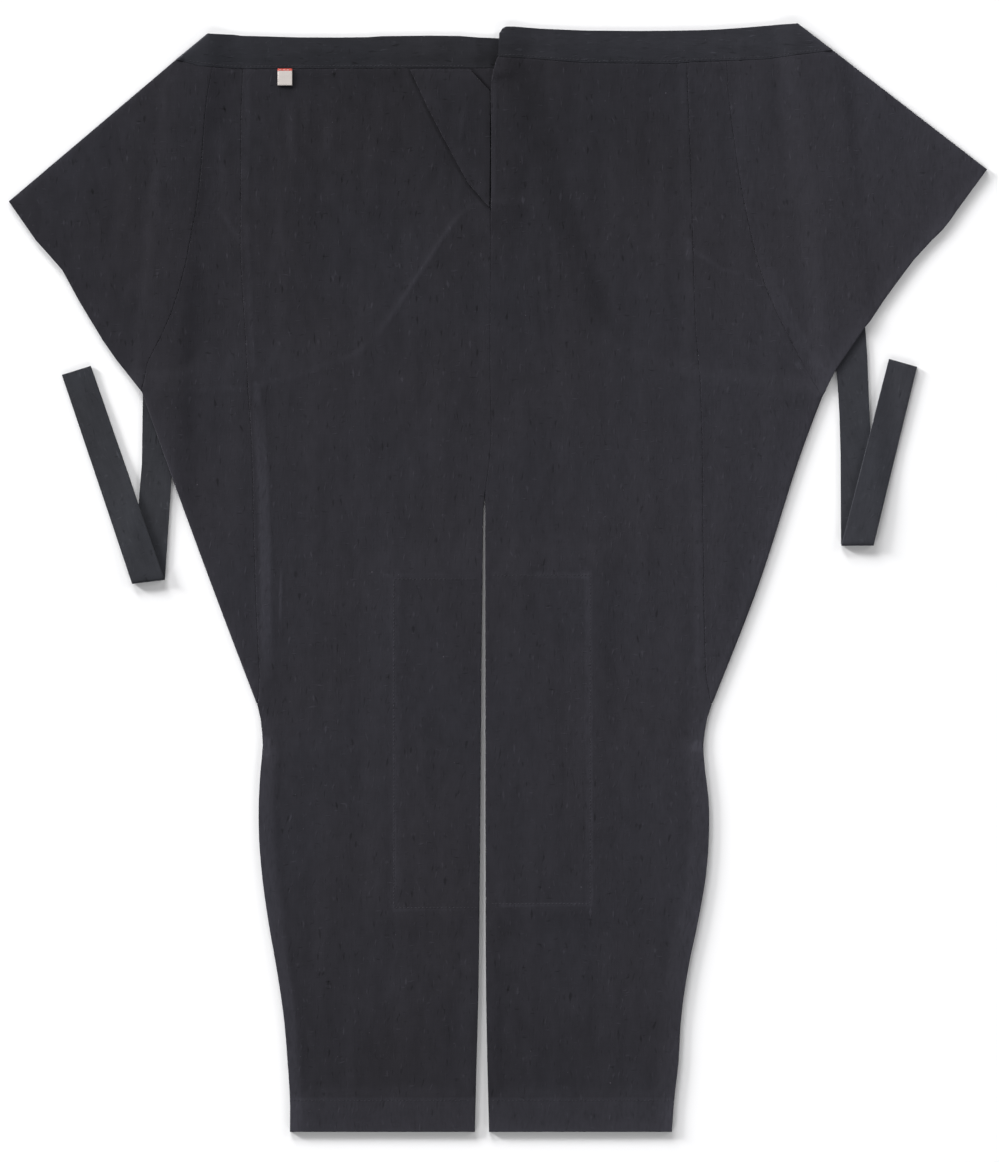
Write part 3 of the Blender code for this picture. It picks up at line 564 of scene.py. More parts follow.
def doubling(side, points):
    """1 where the cloth is doubled at the hem or over the leg seams' turnings, 0 elsewhere."""

    def doubled(distance, reach):
        return ease((reach + DOUBLED_SLOPE - distance) / DOUBLED_SLOPE)

    height = points[:, 1]
    outer = doubled(nearest(points, leg_edge(side, OUTER_EDGE))[0], TURNING) * np.interp(height, TURNING_TOP, (1, 0))
    inner = doubled(nearest(points, leg_edge(side, INNER_EDGE))[0], INNER_TURNING)
    inner *= 1 - share(points, patch_outline(side), PATCH_SLOPE)
    inner *= np.interp(height, INNER_TURNING_TOP, (1, 0))
    return np.max([doubled(height, HEM_HEIGHT), outer, inner], axis=0)


def nothing(side, points):
    return np.zeros(len(points))


def pressed(lines, amount, reach):
    """How much thinner than its wall a piece is that is pressed beside a line, as a function of side and places."""
    return lambda side, points: amount * within(nearest(points, lines[side])[0], 0, reach)


def turned_seams():
    """Lines whose turnings or rolled hems lift the cloth on their left: line, lift, width."""
    rows = []
    for side in SIDES:
        order = SIGN[side]
        hem = joined(WING_TIP[side], wing_hem(side), THIGH_FOLD[side][1])
        rows += [
            (leg_edge(side, SIDE_SEAM)[::order], *SIDE_TURNING),
            (leg_edge(side, WING_SEAM)[::-order], *WING_TURNING),
            (BAND_SEAM[side][::-order], *BAND_TURNING),
            (hem[::-order], *ROLLED_HEM),
        ]
    return rows


def outer_lines(side):
    """The garment's outline on one side, apart from the inner leg."""
    return [
        leg_edge(side, OUTER_EDGE, EDGE_STEP),
        THIGH_FOLD[side],
        joined(THIGH_FOLD[side][1], wing_hem(side)[::-1], WING_TIP[side]),
        joined(WING_TIP[side], BAND_TOP[side][-1]),
        BAND_TOP[side],
        on_side(side, (0, 0, OUTER_EDGE[0][1 + side], 0)),
    ]


def crease_shares(points, column):
    """For each crease, the share that each place has of its lift, or of its rub and painted highlight."""
    for *row, places in CREASES:
        _, half, soft, fade, _ = row
        line = joined(places)
        distance, along = nearest(points, line)
        length = np.hypot(*np.diff(line, axis=0).T).sum()
        ends = ease(along / fade) * ease((length - along) / fade)
        uneven = 1 + 0.3 * np.sin(along / (0.9 * fade) + length)
        yield row[column] * (uneven * ends * within(distance, half, soft))


def marks(points, rows):
    """The strongest of some lines at each place, for lines of rubs and painted light and for lines of painted shade
    alike.
    """
    best = np.zeros(len(points))
    for strength, half, soft, places in rows:
        distance, along = nearest(points, joined(places))
        uneven = 0.85 + 0.25 * np.sin(along / 7.3 + 9 * strength) * np.sin(along / 2.9 + half)
        best = np.maximum(best, strength * uneven * within(distance, half, soft))
    return best


def wavering(along, middle, long, short, phase):
    """A value that changes a little along a line, in long waves and short ones."""
    return middle + 0.2 * np.sin(along / long + phase) + 0.12 * np.sin(along / short)


def patch_row(side):
    """The row of stitches that holds a knee patch along its upper, outer and lower edges."""
    width, low, high = np.array(PATCH[side]) + (-PATCH_STITCH, PATCH_STITCH, -PATCH_STITCH)
    inner = 2 * PATCH_INSET + PATCH_STITCH
    return on_side(side, (inner, low, width, low, width, high, inner, high))


def edge_rub_and_highlight(points):
    """Painted highlight and rub along the outline, turnings and hem at each place, 0 to about 1."""
    best = np.zeros(len(points))
    for side in SIDES:
        for line, strength in zip(outer_lines(side), EDGE_RUB_HIGHLIGHT[side]):
            distance, along = nearest(points, line)
            rub_and_highlight = strength * wavering(along, 0.8, 27, 9.1, side) * np.exp(-distance / EDGE_HIGHLIGHT_REACH)
            best = np.maximum(best, rub_and_highlight)
        edge = nearest(points, leg_edge(side, OUTER_EDGE))[0]
        below = within(points[:, 1], TURNING_TOP[0], TURNING_TOP[1] - TURNING_TOP[0])
        width = np.interp(points[:, 1], *zip(*TURNING_HIGHLIGHT_WIDTHS))
        best += TURNING_RUB_HIGHLIGHT[side] * below * within(edge, width, TURNING_HIGHLIGHT_SOFTNESS)
    return best + HEM_RUB_HIGHLIGHT * within(points[:, 1], HEM_HEIGHT, HEM_HIGHLIGHT_SOFTNESS)


def painted_light_gradient(points):
    """Painted light: how much lighter the cloth is painted at each place, more to the wearer's left and below the hips.
    """
    x, y = points.T
    across, left_end, width = LIGHTER_ACROSS
    down, top, height = LIGHTER_DOWN
    least, low, rise = LIGHTER_DOWN_NEAR_HEM
    legs = least + (1 - least) * ease((y - low) / rise)
    return across * ease((x - left_end) / width) + down * (ease((top - y) / height) * legs)


def ridge_lift(points):
    """Lift of the pressed ridges and turnings at each place."""
    total = sum(crease_shares(points, LIFT))
    for line, lift, width in turned_seams():
        distance, along = nearest(points, beside(line, width / 2))
        uneven = wavering(along, 1, 31, 12.7, width)
        total += lift * uneven * (1 - ease((distance - width / 2 + TURNING_SOFTNESS / 2) / TURNING_SOFTNESS))
    return total


def wave_lift(points):
    """Lift of the long soft waves at each place. Near the garment's edges there are none."""
    lines = [smooth(OPENING_EDGE)]
    for side in SIDES:
        lines += [*outer_lines(side), leg_edge(side, INNER_EDGE, EDGE_STEP)]
    margin = np.min([nearest(points, line)[0] for line in lines], axis=0)
    total = np.full(len(points), WAVE_BASE)
    for lift, wide, tall, phase in WAVES:
        total += lift * np.sin(2 * pi * (points[:, 0] / wide + points[:, 1] / tall) + phase)
    return total * ease(margin / WAVE_MARGIN)


def back_floor(side, points):
    """Height of the hidden back layer's underside."""
    return TIE_UNDER_LEG[side] * (TAPE + GAP) * share(points, tape_outline(side), TAPE_SLOPE)


def back_top(side, points):
    return back_floor(side, points) + CLOTH + DOUBLED * doubling(side, points)


def cover_floor(side, points):
    """Height of the underside of whatever lies on top."""
    floor = np.zeros(len(points))
    for each in SIDES:
        sharp = SHARP_PART * within(-points[:, 0], *SHARP_REACH) if each == LEFT else 0.0
        covered = sharp * share(points, back_outline(each), SHARP_SLOPE)
        covered = covered + (1 - sharp) * share(points, back_outline(each), BACK_SLOPE[each])
        back = (back_top(each, points) + GAP) * covered
        flap = (CLOTH + GAP) * share(points, flap_outline(each), SHEET_SLOPE)
        tape = (TAPE + GAP) * share(points, tape_outline(each), TAPE_SLOPE)
        floor = np.max([floor, back, flap, tape], axis=0)
    floor = floor + (PATCH_WALL + GAP) * share(points, patch_outline(side), PATCH_SLOPE)
    return floor + (ridge_lift(points) + wave_lift(points))


def overlap_floor(side, points):
    """The same for the right front and right waistband, which also cross the left ones' ends."""
    front = (CLOTH + GAP) * share(points, underlap_outline(), SHEET_SLOPE)
    band = (TAPE + GAP) * share(points, band_end_outline(), TAPE_SLOPE)
    return cover_floor(side, points) + np.maximum(front, band)


def patch_floor(side, points):
    return back_top(side, points) + GAP


def on_left_front(side, points):
    return cover_floor(LEFT, points) + CLOTH + GAP


# Rows of places that a shell has beside each bend and ridge


def both_ways(line, offsets):
    """A line, and lines beside it on both sides."""
    return [line] + [beside(line, offset * way) for offset in offsets for way in (1, -1)]


def feature_rows():
    rows = []
    for _, half, soft, _, _, places in CREASES:
        rows += both_ways(joined(places), (half, half + soft / 3, half + 2 * soft / 3, half + soft))
    for _, half, soft, places in (*RUBS_AND_HIGHLIGHTS, *LEFT_FRONT_SHADES, *LEFT_BAND_SHADES, *FACING_SHADES, *COMMON_SHADES):
        rows += both_ways(joined(places), (half, half + soft))
    for line, _, width in turned_seams():
        for offset in (0.8, width - TURNING_SOFTNESS, width - TURNING_SOFTNESS / 2, width, width + 1.2):
            rows.append(beside(line, offset))
    for side in SIDES:
        order = SIGN[side]
        edge = leg_edge(side, OUTER_EDGE)
        turned = edge[edge[:, 1] <= TURNING_TOP[1]]
        for part in (0, 0.25, 0.5, 0.75, 1):
            sharp, patch = (low + part * (high - low) for low, high in (SHARP_SLOPE, PATCH_SLOPE))
            reach, height = (start + part * DOUBLED_SLOPE for start in (TURNING, HEM_HEIGHT))
            rows += [
                beside(back_edge(side)[::order], sharp),
                closed(beside(patch_outline(side)[::order], patch, loop=True)),
                beside(turned, order * reach),
                on_side(side, (0, height, OUTER_EDGE[0][1 + side] + TURNING, height)),
            ]
    return [sampled(row, ROW_STEP) for row in rows]


# Flat outline to closed shell


def area_of(outline):
    """Area of a flat outline, above 0 if it runs counter-clockwise."""
    x, y = outline.T
    return (x @ np.roll(y, -1) - y @ np.roll(x, -1)) / 2


def crowded(points, others, cell):
    """Whether each place has one of the others in its own cell of a grid or in one beside it."""

    def keys(places, right, up):
        i = np.floor(places / cell).astype(int) + (right, up)
        return i[:, 0] * 1000003 + i[:, 1]

    around = [(right, up) for right in (-1, 0, 1) for up in (-1, 0, 1)]
    taken = np.unique(np.concatenate([keys(others, *step) for step in around]))
    return np.isin(keys(points, 0, 0), taken)


def grid(low, high, spacing):
    """Places of a grid of equal triangles over a box."""
    across = np.arange(low[0], high[0] + spacing, spacing)
    up = np.arange(low[1], high[1] + spacing, spacing * GRID_ROWS)
    x, y = np.meshgrid(across, up)
    x = x + (np.arange(len(up)) % 2)[:, None] * spacing / 2
    return np.column_stack([x.ravel(), y.ravel()])


def fine_cut(edge, rows, coarse=None):
    """Places, triangles and distances from the edge of a fine flat mesh. coarse says which places need few."""
    edge = edge if area_of(edge) > 0 else edge[::-1]
    fixed = joined(*(beside(edge, depth, loop=True) for depth in RING_DEPTHS), *rows)
    fixed = fixed[inside(fixed, edge)]
    fixed = fixed[nearest(fixed, closed(edge))[0] > RING_DEPTHS[0] * 0.6]
    low, high = edge.min(axis=0), edge.max(axis=0)
    loose = grid(low, high, TOP_GRID)
    if coarse is not None:
        wide = grid(low, high, HIDDEN_GRID)
        loose = joined(loose[~coarse(loose)], wide[coarse(wide)])
    loose = loose[inside(loose, edge)]
    loose = loose[~crowded(loose, joined(fixed, edge), TOP_GRID * CROWDED)]
    points = [tuple(point) for point in joined(edge, fixed, loose)]
    places, _, faces, _, _, origins = delaunay_2d_cdt(points, [], [list(range(len(edge)))], 0, MERGE)
    kept = np.array([face for face, origin in zip(faces, origins) if origin])
    used, kept = np.unique(kept, return_inverse=True)
    places = np.array([tuple(places[i]) for i in used])
    return places, kept.reshape(-1, 3), nearest(places, closed(edge))[0]


def face_normals(points, triangles):
    corners = points[triangles]
    return np.cross(corners[:, 1] - corners[:, 0], corners[:, 2] - corners[:, 0])


def vertex_normals(points, triangles):
    faces = face_normals(points, triangles)
    normals = np.zeros_like(points)
    for corner in range(3):
        np.add.at(normals, triangles[:, corner], faces)
    return normals / np.maximum(np.linalg.norm(normals, axis=1), TOLERANCE)[:, None]


def rim_edges(triangles):
    """Directed edges that only one triangle has."""
    edges = np.vstack([triangles[:, [0, 1]], triangles[:, [1, 2]], triangles[:, [2, 0]]])
    count = edges.max() + 1
    ahead = edges[:, 0] * count + edges[:, 1]
    behind = edges[:, 1] * count + edges[:, 0]
    return edges[~np.isin(ahead, behind)]


def placed(name, data):
    """A new object in the scene."""
    made = bpy.data.objects.new(name, data)
    bpy.context.scene.collection.objects.link(made)
    return made


def new_mesh(name, points, faces, finish):
    mesh = bpy.data.meshes.new(name)
    mesh.from_pydata(points, [], faces)
    mesh.materials.append(finish)
    return placed(name, mesh)


def in_metres(points):
    """Points of the row frame from places and heights."""
    return ((points - (*MIDDLE, 0)) * MM).tolist()


# What a piece is made of: the finish and slot of its cloth, and its thread
Cloth = namedtuple("Cloth", "finish slot thread")

# A piece of cloth and how it lies: its floor is the height of its underside, doubled and thinned say how its wall
# changes, grain is the direction of its warp, and sewn are its rows of stitches
Piece = namedtuple(
    "Piece",
    "node side floor cloth rests_on wall doubled thinned grain shades sewn",
    defaults=(CLOTH, nothing, nothing, (0, 1), (), ()),
)


def closed_shell(piece, outer, is_upper, triangles, margin, walls, pattern, tone_marks, inside_marks=0):
    """A closed cloth shell below its outer surface, its edges rounded."""
    if face_normals(outer, triangles)[is_upper[triangles].all(axis=1), 2].sum() <= 0:
        triangles = triangles[:, ::-1]
    normals = vertex_normals(outer, triangles)
    inward = np.clip(ROUNDING - margin, 0, ROUNDING)
    drop = ROUNDING - np.sqrt(ROUNDING**2 - inward**2)
    shown = outer - normals * drop[:, None]
    inner = outer - normals * walls[:, None]
    count = len(outer)
    rim = rim_edges(triangles)
    quads = np.column_stack([rim[:, 1], rim[:, 0], rim[:, 0] + count, rim[:, 1] + count])
    faces = triangles.tolist() + (triangles[:, ::-1] + count).tolist() + quads.tolist()
    made = new_mesh(f"{piece.node}_cloth", in_metres(np.vstack([shown, inner])), faces, piece.cloth.finish)
    mesh = made.data
    corner_points = np.zeros(len(mesh.loops), int)
    mesh.loops.foreach_get("vertex_index", corner_points)
    grain = np.array(piece.grain)
    pattern = np.column_stack([pattern @ (grain[1], -grain[0]), pattern @ grain])
    both = np.vstack([pattern, pattern]) * MM
    mesh.uv_layers.new(name="weave").data.foreach_set("uv", both[corner_points].astype(np.float32).ravel())
    # the first attribute lightens the cloth for rubs and painted light, the second darkens it with painted shade; the
    # inner face takes a share of both
    for layer, values in zip(("rub_and_highlight", "shade"), tone_marks):
        held = mesh.attributes.new(layer, "FLOAT", "POINT")
        held.data.foreach_set("value", np.concatenate([values, inside_marks * values]).astype(np.float32))
    mesh.shade_smooth()
    mesh.update()
    return made


def rubs_and_painted_light_of(points, margin, shades):
    """How much rubs and painted light lighten the upper face, and painted shade darkens it, at each place, each 0 to
    about 1.
    """
    rub_and_highlight = np.max([*crease_shares(points, RUB_HIGHLIGHT), marks(points, RUBS_AND_HIGHLIGHTS), edge_rub_and_highlight(points)], axis=0) + painted_light_gradient(points)
    x, y = points.T
    # painted shade over the fronts' upper part and along the seams
    top = TOP_SHADE * ease((y - TOP_SHADE_HEIGHT[0]) / TOP_SHADE_HEIGHT[1]) * within(abs(x), *TOP_SHADE_REACH)
    uneven = 0.55 + 0.45 * np.sin(y / 23 + x / 41) * np.sin(y / 9.3 + x / 19)
    seam = SEAM_SHADE * uneven * within(margin, 0, SEAM_SHADE_WIDTH)
    return rub_and_highlight, top + np.maximum(seam, marks(points, (*COMMON_SHADES, *shades)))


def sew(piece):
    """The piece's stitches: short threads along its sewn rows, sunk into the cloth at their ends."""
    if not piece.sewn:
        return []
    starts, ends = [], []
    for row in piece.sewn:
        passed = np.concatenate([[0], np.cumsum(np.hypot(*np.diff(row, axis=0).T))])
        at = np.arange(STITCH_START, passed[-1] - STITCH_LENGTH, STITCH_PITCH)
        at = at + STITCH_UNEVEN * np.sin(at * 1.7)
        for places, ahead in ((starts, 0), (ends, STITCH_LENGTH)):
            places.append(np.column_stack([np.interp(at + ahead, passed, values) for values in row.T]))
    starts, ends = joined(*starts), joined(*ends)
    aside = left_of(ends - starts)
    points = []
    for part, thickness, sunk in THREAD:
        places = starts + part * (ends - starts)
        top = piece.floor(piece.side, places) + piece.wall + DOUBLED * piece.doubled(piece.side, places)
        height, radius = top - piece.thinned(piece.side, places) - sunk, THREAD_RADIUS * thickness
        for corner in range(THREAD_SIDES):
            turn = 2 * pi * corner / THREAD_SIDES
            points.append(np.column_stack([places + aside * radius * cos(turn), height + radius * sin(turn)]))
    points = np.stack(points, axis=1).reshape(-1, 3)
    faces = []
    for rings in np.arange(len(points)).reshape(-1, len(THREAD), THREAD_SIDES):
        for low, high in zip(rings[:-1], rings[1:]):
            faces += np.column_stack([np.roll(low, -1), low, high, np.roll(high, -1)]).tolist()
        faces += [rings[0].tolist(), rings[-1, ::-1].tolist()]
    made = new_mesh(f"{piece.node}_stitches", in_metres(points), faces, piece.cloth.thread)
    made.data.shade_smooth()
    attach(made, "root")
    return [made]


def declare(piece, made):
    """Attaches the shell to the root body and hides the solid it stands for."""
    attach(made, "root")
    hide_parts(piece.node)


def lay(piece, outline):
    """Lays a piece of one layer on what lies beneath it."""
    sewing = sew(piece)
    places, triangles, margin = fine_cut(sampled(closed(outline), RIM_STEP)[:-1], ROWS)
    walls = piece.wall + DOUBLED * piece.doubled(piece.side, places) - piece.thinned(piece.side, places)
    points = np.column_stack([places, piece.floor(piece.side, places) + walls])
    tone_marks = rubs_and_painted_light_of(places, margin, piece.shades)
    made = closed_shell(piece, points, np.ones(len(points), bool), triangles, margin, walls, places, tone_marks)
    declare(piece, made)


def unit(step):
    return step / hypot(*step)


class Fold:
    """A fold line. Flat places are (along, unrolled), with unrolled above 0 on the upper layer."""

    def __init__(self, start, end, inside_place, wall, bulge=()):
        self.start = start
        self.length = hypot(*(end - start))
        self.direction = unit(end - start)
        self.inward = np.array([-self.direction[1], self.direction[0]])
        if (inside_place - start) @ self.inward < 0:
            self.inward = -self.inward
        self.radius = wall + GAP / 2
        self.quarter = self.radius * pi / 2
        self.bulge = bulge

    def line_at(self, along):
        """How far outside its chord the fold line lies."""
        part = np.clip(along / self.length, 0, 1)
        return sum((weight * np.sin(pi * (i + 1) * part) for i, weight in enumerate(self.bulge)), 0 * part)

    def flat(self, points, layer):
        """Flat places of places on a layer, 1 for the upper and -1 for the lower."""
        offset = points - self.start
        along = offset @ self.direction
        depth = offset @ self.inward + self.line_at(along)
        return np.column_stack([along, layer * (depth - self.radius + self.quarter)])

    def place(self, along, depth):
        inward = (depth - self.line_at(along))[:, None]
        return self.start + along[:, None] * self.direction + inward * self.inward

    def clipped(self, line, layer):
        """The part of a line of flat places that lies on a layer clear of the bend."""
        clear = layer * line[:, 1] - self.quarter
        out = []
        for start, end, a, b in zip(line, line[1:], clear, clear[1:]):
            if a >= 0:
                out.append(start)
            if (a >= 0) != (b >= 0):
                out.append(start + (end - start) * a / (a - b))
        return joined(*out, line[clear >= 0][-1:] if clear[-1] >= 0 else ())

    def edge(self, outline):
        """The outline with places close together where it crosses the bend."""
        out = []
        for start, end in zip(outline, np.roll(outline, -1, axis=0)):
            crossing = min(abs(start[1]), abs(end[1])) < self.quarter * 1.01 or start[1] * end[1] < 0
            short = crossing and abs(end[0] - start[0]) < 4 * self.quarter
            out.append(sampled(np.array([start, end]), BEND_STEP if short else RIM_STEP)[:-1])
        return joined(*out)


def lay_folded(piece, fold, upper, lower, floor_below=nothing, tail=False, hidden=True):
    """Lays a piece folded back under itself. Upper and lower are the edges of its two layers apart from the fold,
    each going on from the other. With a tail, the lower layer reaches past the fold's start, lying open.
    A hidden lower layer gets no rubs, painted light or painted shade."""
    sewing = sew(piece)
    side, radius, quarter = piece.side, fold.radius, fold.quarter
    flat_lower = fold.flat(lower, -1)
    outline = joined(fold.clipped(fold.flat(upper, 1), 1), flat_lower if tail else fold.clipped(flat_lower, -1))
    rows = [fold.flat(row, 1) for row in ROWS]
    rows = [row[(row[:, 1] > quarter) & (row[:, 0] > 0)] for row in rows]
    low, high = outline[:, 0].min(), outline[:, 0].max()
    along_bend = np.arange(max(low, 0) if tail else low, high, RIM_STEP)
    for level in np.linspace(-quarter, quarter, BEND_ROWS + 1):
        rows.append(np.column_stack([along_bend, np.full(len(along_bend), level)]))
    flat_places, triangles, margin = fine_cut(fold.edge(outline), rows, lambda flat: flat[:, 1] < -quarter)
    along, unrolled = flat_places.T
    opened = (along < -TOLERANCE) & tail
    is_upper = (unrolled >= quarter - TOLERANCE) & ~opened
    is_lower = (unrolled <= -quarter + TOLERANCE) | opened
    is_bend = ~is_upper & ~is_lower
    turn = np.where(is_bend, unrolled / radius, 0)
    depth = np.where(is_upper, unrolled, -unrolled) + radius - quarter
    depth = np.where(is_bend, radius * (1 - np.cos(turn)), depth)
    places = fold.place(along, depth)
    edge_places = fold.place(along, np.where(is_bend, radius, depth))
    thinning = piece.thinned(side, edge_places) * ease((unrolled - quarter) / THINNING_START)
    top = piece.floor(side, edge_places) + piece.wall - thinning
    bottom = floor_below(side, edge_places)
    bend = (top + bottom) / 2 + (top - bottom) / 2 * np.sin(turn)
    points = np.column_stack([places, np.where(is_upper, top, np.where(is_lower, bottom, bend))])
    walls = piece.wall + DOUBLED * np.where(is_lower, piece.doubled(side, places), 0) - thinning
    pattern = fold.place(along, unrolled + radius - quarter)
    # a hidden lower layer gets none of the rubs, painted light and painted shade
    tone_marks = [np.where(is_lower & hidden, 0, values) for values in rubs_and_painted_light_of(places, margin, piece.shades)]
    inside_marks = 0 if hidden else UNDERSIDE_MARKS
    made = closed_shell(piece, points, is_upper, triangles, margin, walls, pattern, tone_marks, inside_marks)
    declare(piece, made)


# Materials


class Nodes:
    """A material whose nodes are added one by one."""

    def __init__(self, name, *values):
        self.made = bpy.data.materials.new(name)
        self.made.use_nodes = True
        self.tree = self.made.node_tree
        self.shader = self.tree.nodes["Principled BSDF"].inputs
        for socket, value in zip(("Roughness", "Specular IOR Level", "Sheen Weight", "Sheen Roughness"), values):
            self.put(self.shader[socket], value)

    def put(self, socket, value):
        """Links a socket to another node's output, or sets it to a number, a vector or a colour."""
        if isinstance(value, bpy.types.NodeSocket):
            self.tree.links.new(value, socket)
        else:
            socket.default_value = (*value, 1) if socket.type == "RGBA" else value

    def add(self, kind, values=(), output=0, **settings):
        """Adds a node and returns one of its outputs. Values go to its inputs in order, or by name from a dict."""
        node = self.tree.nodes.new(f"ShaderNode{kind}")
        for name, value in settings.items():
            setattr(node, name, value)
        for key, value in values.items() if isinstance(values, dict) else enumerate(values):
            self.put(node.inputs[key], value)
        return node.outputs[output]

    def times(self, first, second, plus=0, clamp=False):
        return self.add("Math", (first, second, plus), operation="MULTIPLY_ADD", use_clamp=clamp)

    def summed(self, total, terms):
        """A total with each of some values added, times its amount."""
        for value, amount in terms:
            total = self.times(value, amount, total)
        return total

    def noise(self, vector, scale, offset=(0, 0, 0), detail=2, output="Fac"):
        moved = self.add("Mapping", {"Vector": vector, "Scale": scale, "Location": offset})
        return self.add("TexNoise", {"Vector": moved, "Scale": 1, "Detail": detail}, output)

    def band(self, value, low, high):
        """0 below low, 1 above high, and a soft step between."""
        values = {"Value": value, "From Min": low, "From Max": high}
        return self.add("MapRange", values, interpolation_type="SMOOTHSTEP")

    def mixed(self, part, first, second, blend="MIX"):
        """Two colours mixed by the second one's part. The node's colours are its inputs 6 and 7 and its output 2."""
        return self.add("Mix", {0: part, 6: first, 7: second}, 2, data_type="RGBA", blend_type=blend)

    def yarns(self, vector, ends, picks, distortion, detail):
        """Heights of evenly spaced yarns along and across the grain."""
        values = {"Vector": vector, "Distortion": distortion, "Detail": detail}
        ways = {"X": ends, "Y": picks}
        return [self.add("TexWave", {**values, "Scale": ways[way]}, "Fac", bands_direction=way) for way in ways]

    def end(self, colour, height, distance, strength):
        """Ends the material in a colour and a bump, and returns it."""
        bump = self.add("Bump", {"Height": height, "Distance": distance, "Strength": strength})
        self.put(self.shader["Base Color"], colour)
        self.put(self.shader["Normal"], bump)
        return self.made


def cotton_material(name, colour):
    """Plain-woven cotton with thick and thin yarns, its slubs mostly along the grain."""
    nodes = Nodes(name, 0.90, 0.10, 0.05, 0.45)
    uv = nodes.add("UVMap", uv_map="weave")
    # the first attribute paints rubs and painted light lighter, the second paints painted shade darker
    rub_and_highlight, shade = (nodes.add("Attribute", output="Fac", attribute_name=layer) for layer in ("rub_and_highlight", "shade"))
    # the yarns are drawn by places moved about a little, so that they don't fall into rows
    moved = nodes.noise(uv, (24, 24, 1), detail=1, output="Color")
    bent = nodes.add("VectorMath", (moved, (0.014, 0.014, 0), uv), operation="MULTIPLY_ADD")

    def drawn(vector, across, along, right, up, detail):
        return nodes.noise(vector, (across, along, 1), (right, up, 0), detail)

    crowding = nodes.times(nodes.band(drawn(uv, *CROWDING_NOISE), 0.38, 0.62), 0.7, 0.3)
    bright, high = [], []
    for *row, brightness, height in SOFT_NOISES:
        noise = drawn(uv, *row)
        bright.append((nodes.times(noise, 1, -0.5), brightness))
        high += [(noise, height)] if height else []
    yarns = [nodes.band(drawn(bent, *row[:5]), *row[5:7]) for row in YARN_NOISES]
    bright += [(nodes.times(yarn, crowding), row[7]) for yarn, row in zip(yarns, YARN_NOISES)]
    high = [(yarn, row[8]) for yarn, row in zip(yarns, YARN_NOISES)] + high
    brightness = nodes.times(nodes.summed(1, bright), nodes.times(shade, -1, 1))
    channels = nodes.add("CombineColor", [nodes.times(brightness, channel) for channel in colour])
    plain = nodes.mixed(1, channels, nodes.mixed(drawn(uv, *TINT_NOISE), WARM, COOL), "MULTIPLY")
    # rubbed places and painted highlights turn toward the lighter, bluer colour
    rub_highlight_part = nodes.times(rub_and_highlight, nodes.band(drawn(bent, *RUB_HIGHLIGHT_NOISE), -0.20, 0.72))
    rubbed_and_lit_colour = nodes.mixed(nodes.times(rub_highlight_part, 0.72, clamp=True), plain, RUBBED_AND_LIT)
    specks = nodes.times(nodes.band(drawn(uv, *SPECK_NOISE), 0.88, 0.94), 0.5)
    nodes.put(nodes.shader["Roughness"], nodes.times(yarns[0], -0.10, 0.92))
    weave = nodes.times(nodes.add("Math", nodes.yarns(uv, 300, 270, 1.2, 1), operation="MAXIMUM"), 0.10)
    return nodes.end(nodes.mixed(specks, rubbed_and_lit_colour, SPECK), nodes.summed(weave, high), 0.00016, 0.7)


def thread_material(name, colour):
    """Sewing thread, twisted of plies, so that its lightness changes along it."""
    nodes = Nodes(name, 0.65, 0.3, 0.0, 0.5)
    place = nodes.add("NewGeometry", output="Position")
    twist = nodes.noise(place, (2600, 2600, 900), detail=1)
    tone_marks = nodes.times(nodes.noise(place, (60, 60, 60), (3, 1, 2)), 0.5)
    darker, lighter = ([scale * channel for channel in colour] for scale in (0.72, 1.35))
    return nodes.end(nodes.mixed(tone_marks, nodes.mixed(twist, darker, lighter), lighter), twist, 0.0001, 0.5)


def label_material():
    """White woven tape with a red selvedge along its upper edge."""
    nodes = Nodes("label_tape", 0.7, 0.3, 0.05, 0.4)
    uv = nodes.add("UVMap", uv_map="weave")
    red = nodes.band(nodes.add("SeparateXYZ", (uv,), 1), *((LABEL[-1] - below) * MM for below in SELVEDGE))
    woven = nodes.times(nodes.add("Math", nodes.yarns(uv, 600, 500, 0.6, 2), operation="ADD"), 0.10)
    shade = nodes.times(nodes.noise(uv, (300, 300, 1)), 0.25, woven, clamp=True)
    white = nodes.mixed(shade, LABEL_WHITE, LABEL_CREAM)
    crimson = nodes.mixed(shade, LABEL_RED, LABEL_CRIMSON)
    return nodes.end(nodes.mixed(red, white, crimson), woven, 0.0001, 0.6)


# Pieces

TOP_FLOORS = (cover_floor, overlap_floor)


def named(part, side):
    return f"{part}_{SIDE_NAMES[side]}"


def seam_up_to_band(side, rows, gap):
    """A seam from its lower end to the waistband, moved across by a gap."""
    seam = leg_edge(side, rows, EDGE_STEP)
    seam[:, 0] += SIGN[side] * gap
    seam[-1, 1] = band_height(side, abs(seam[-1, 0])) - SEAM_GAP
    return seam


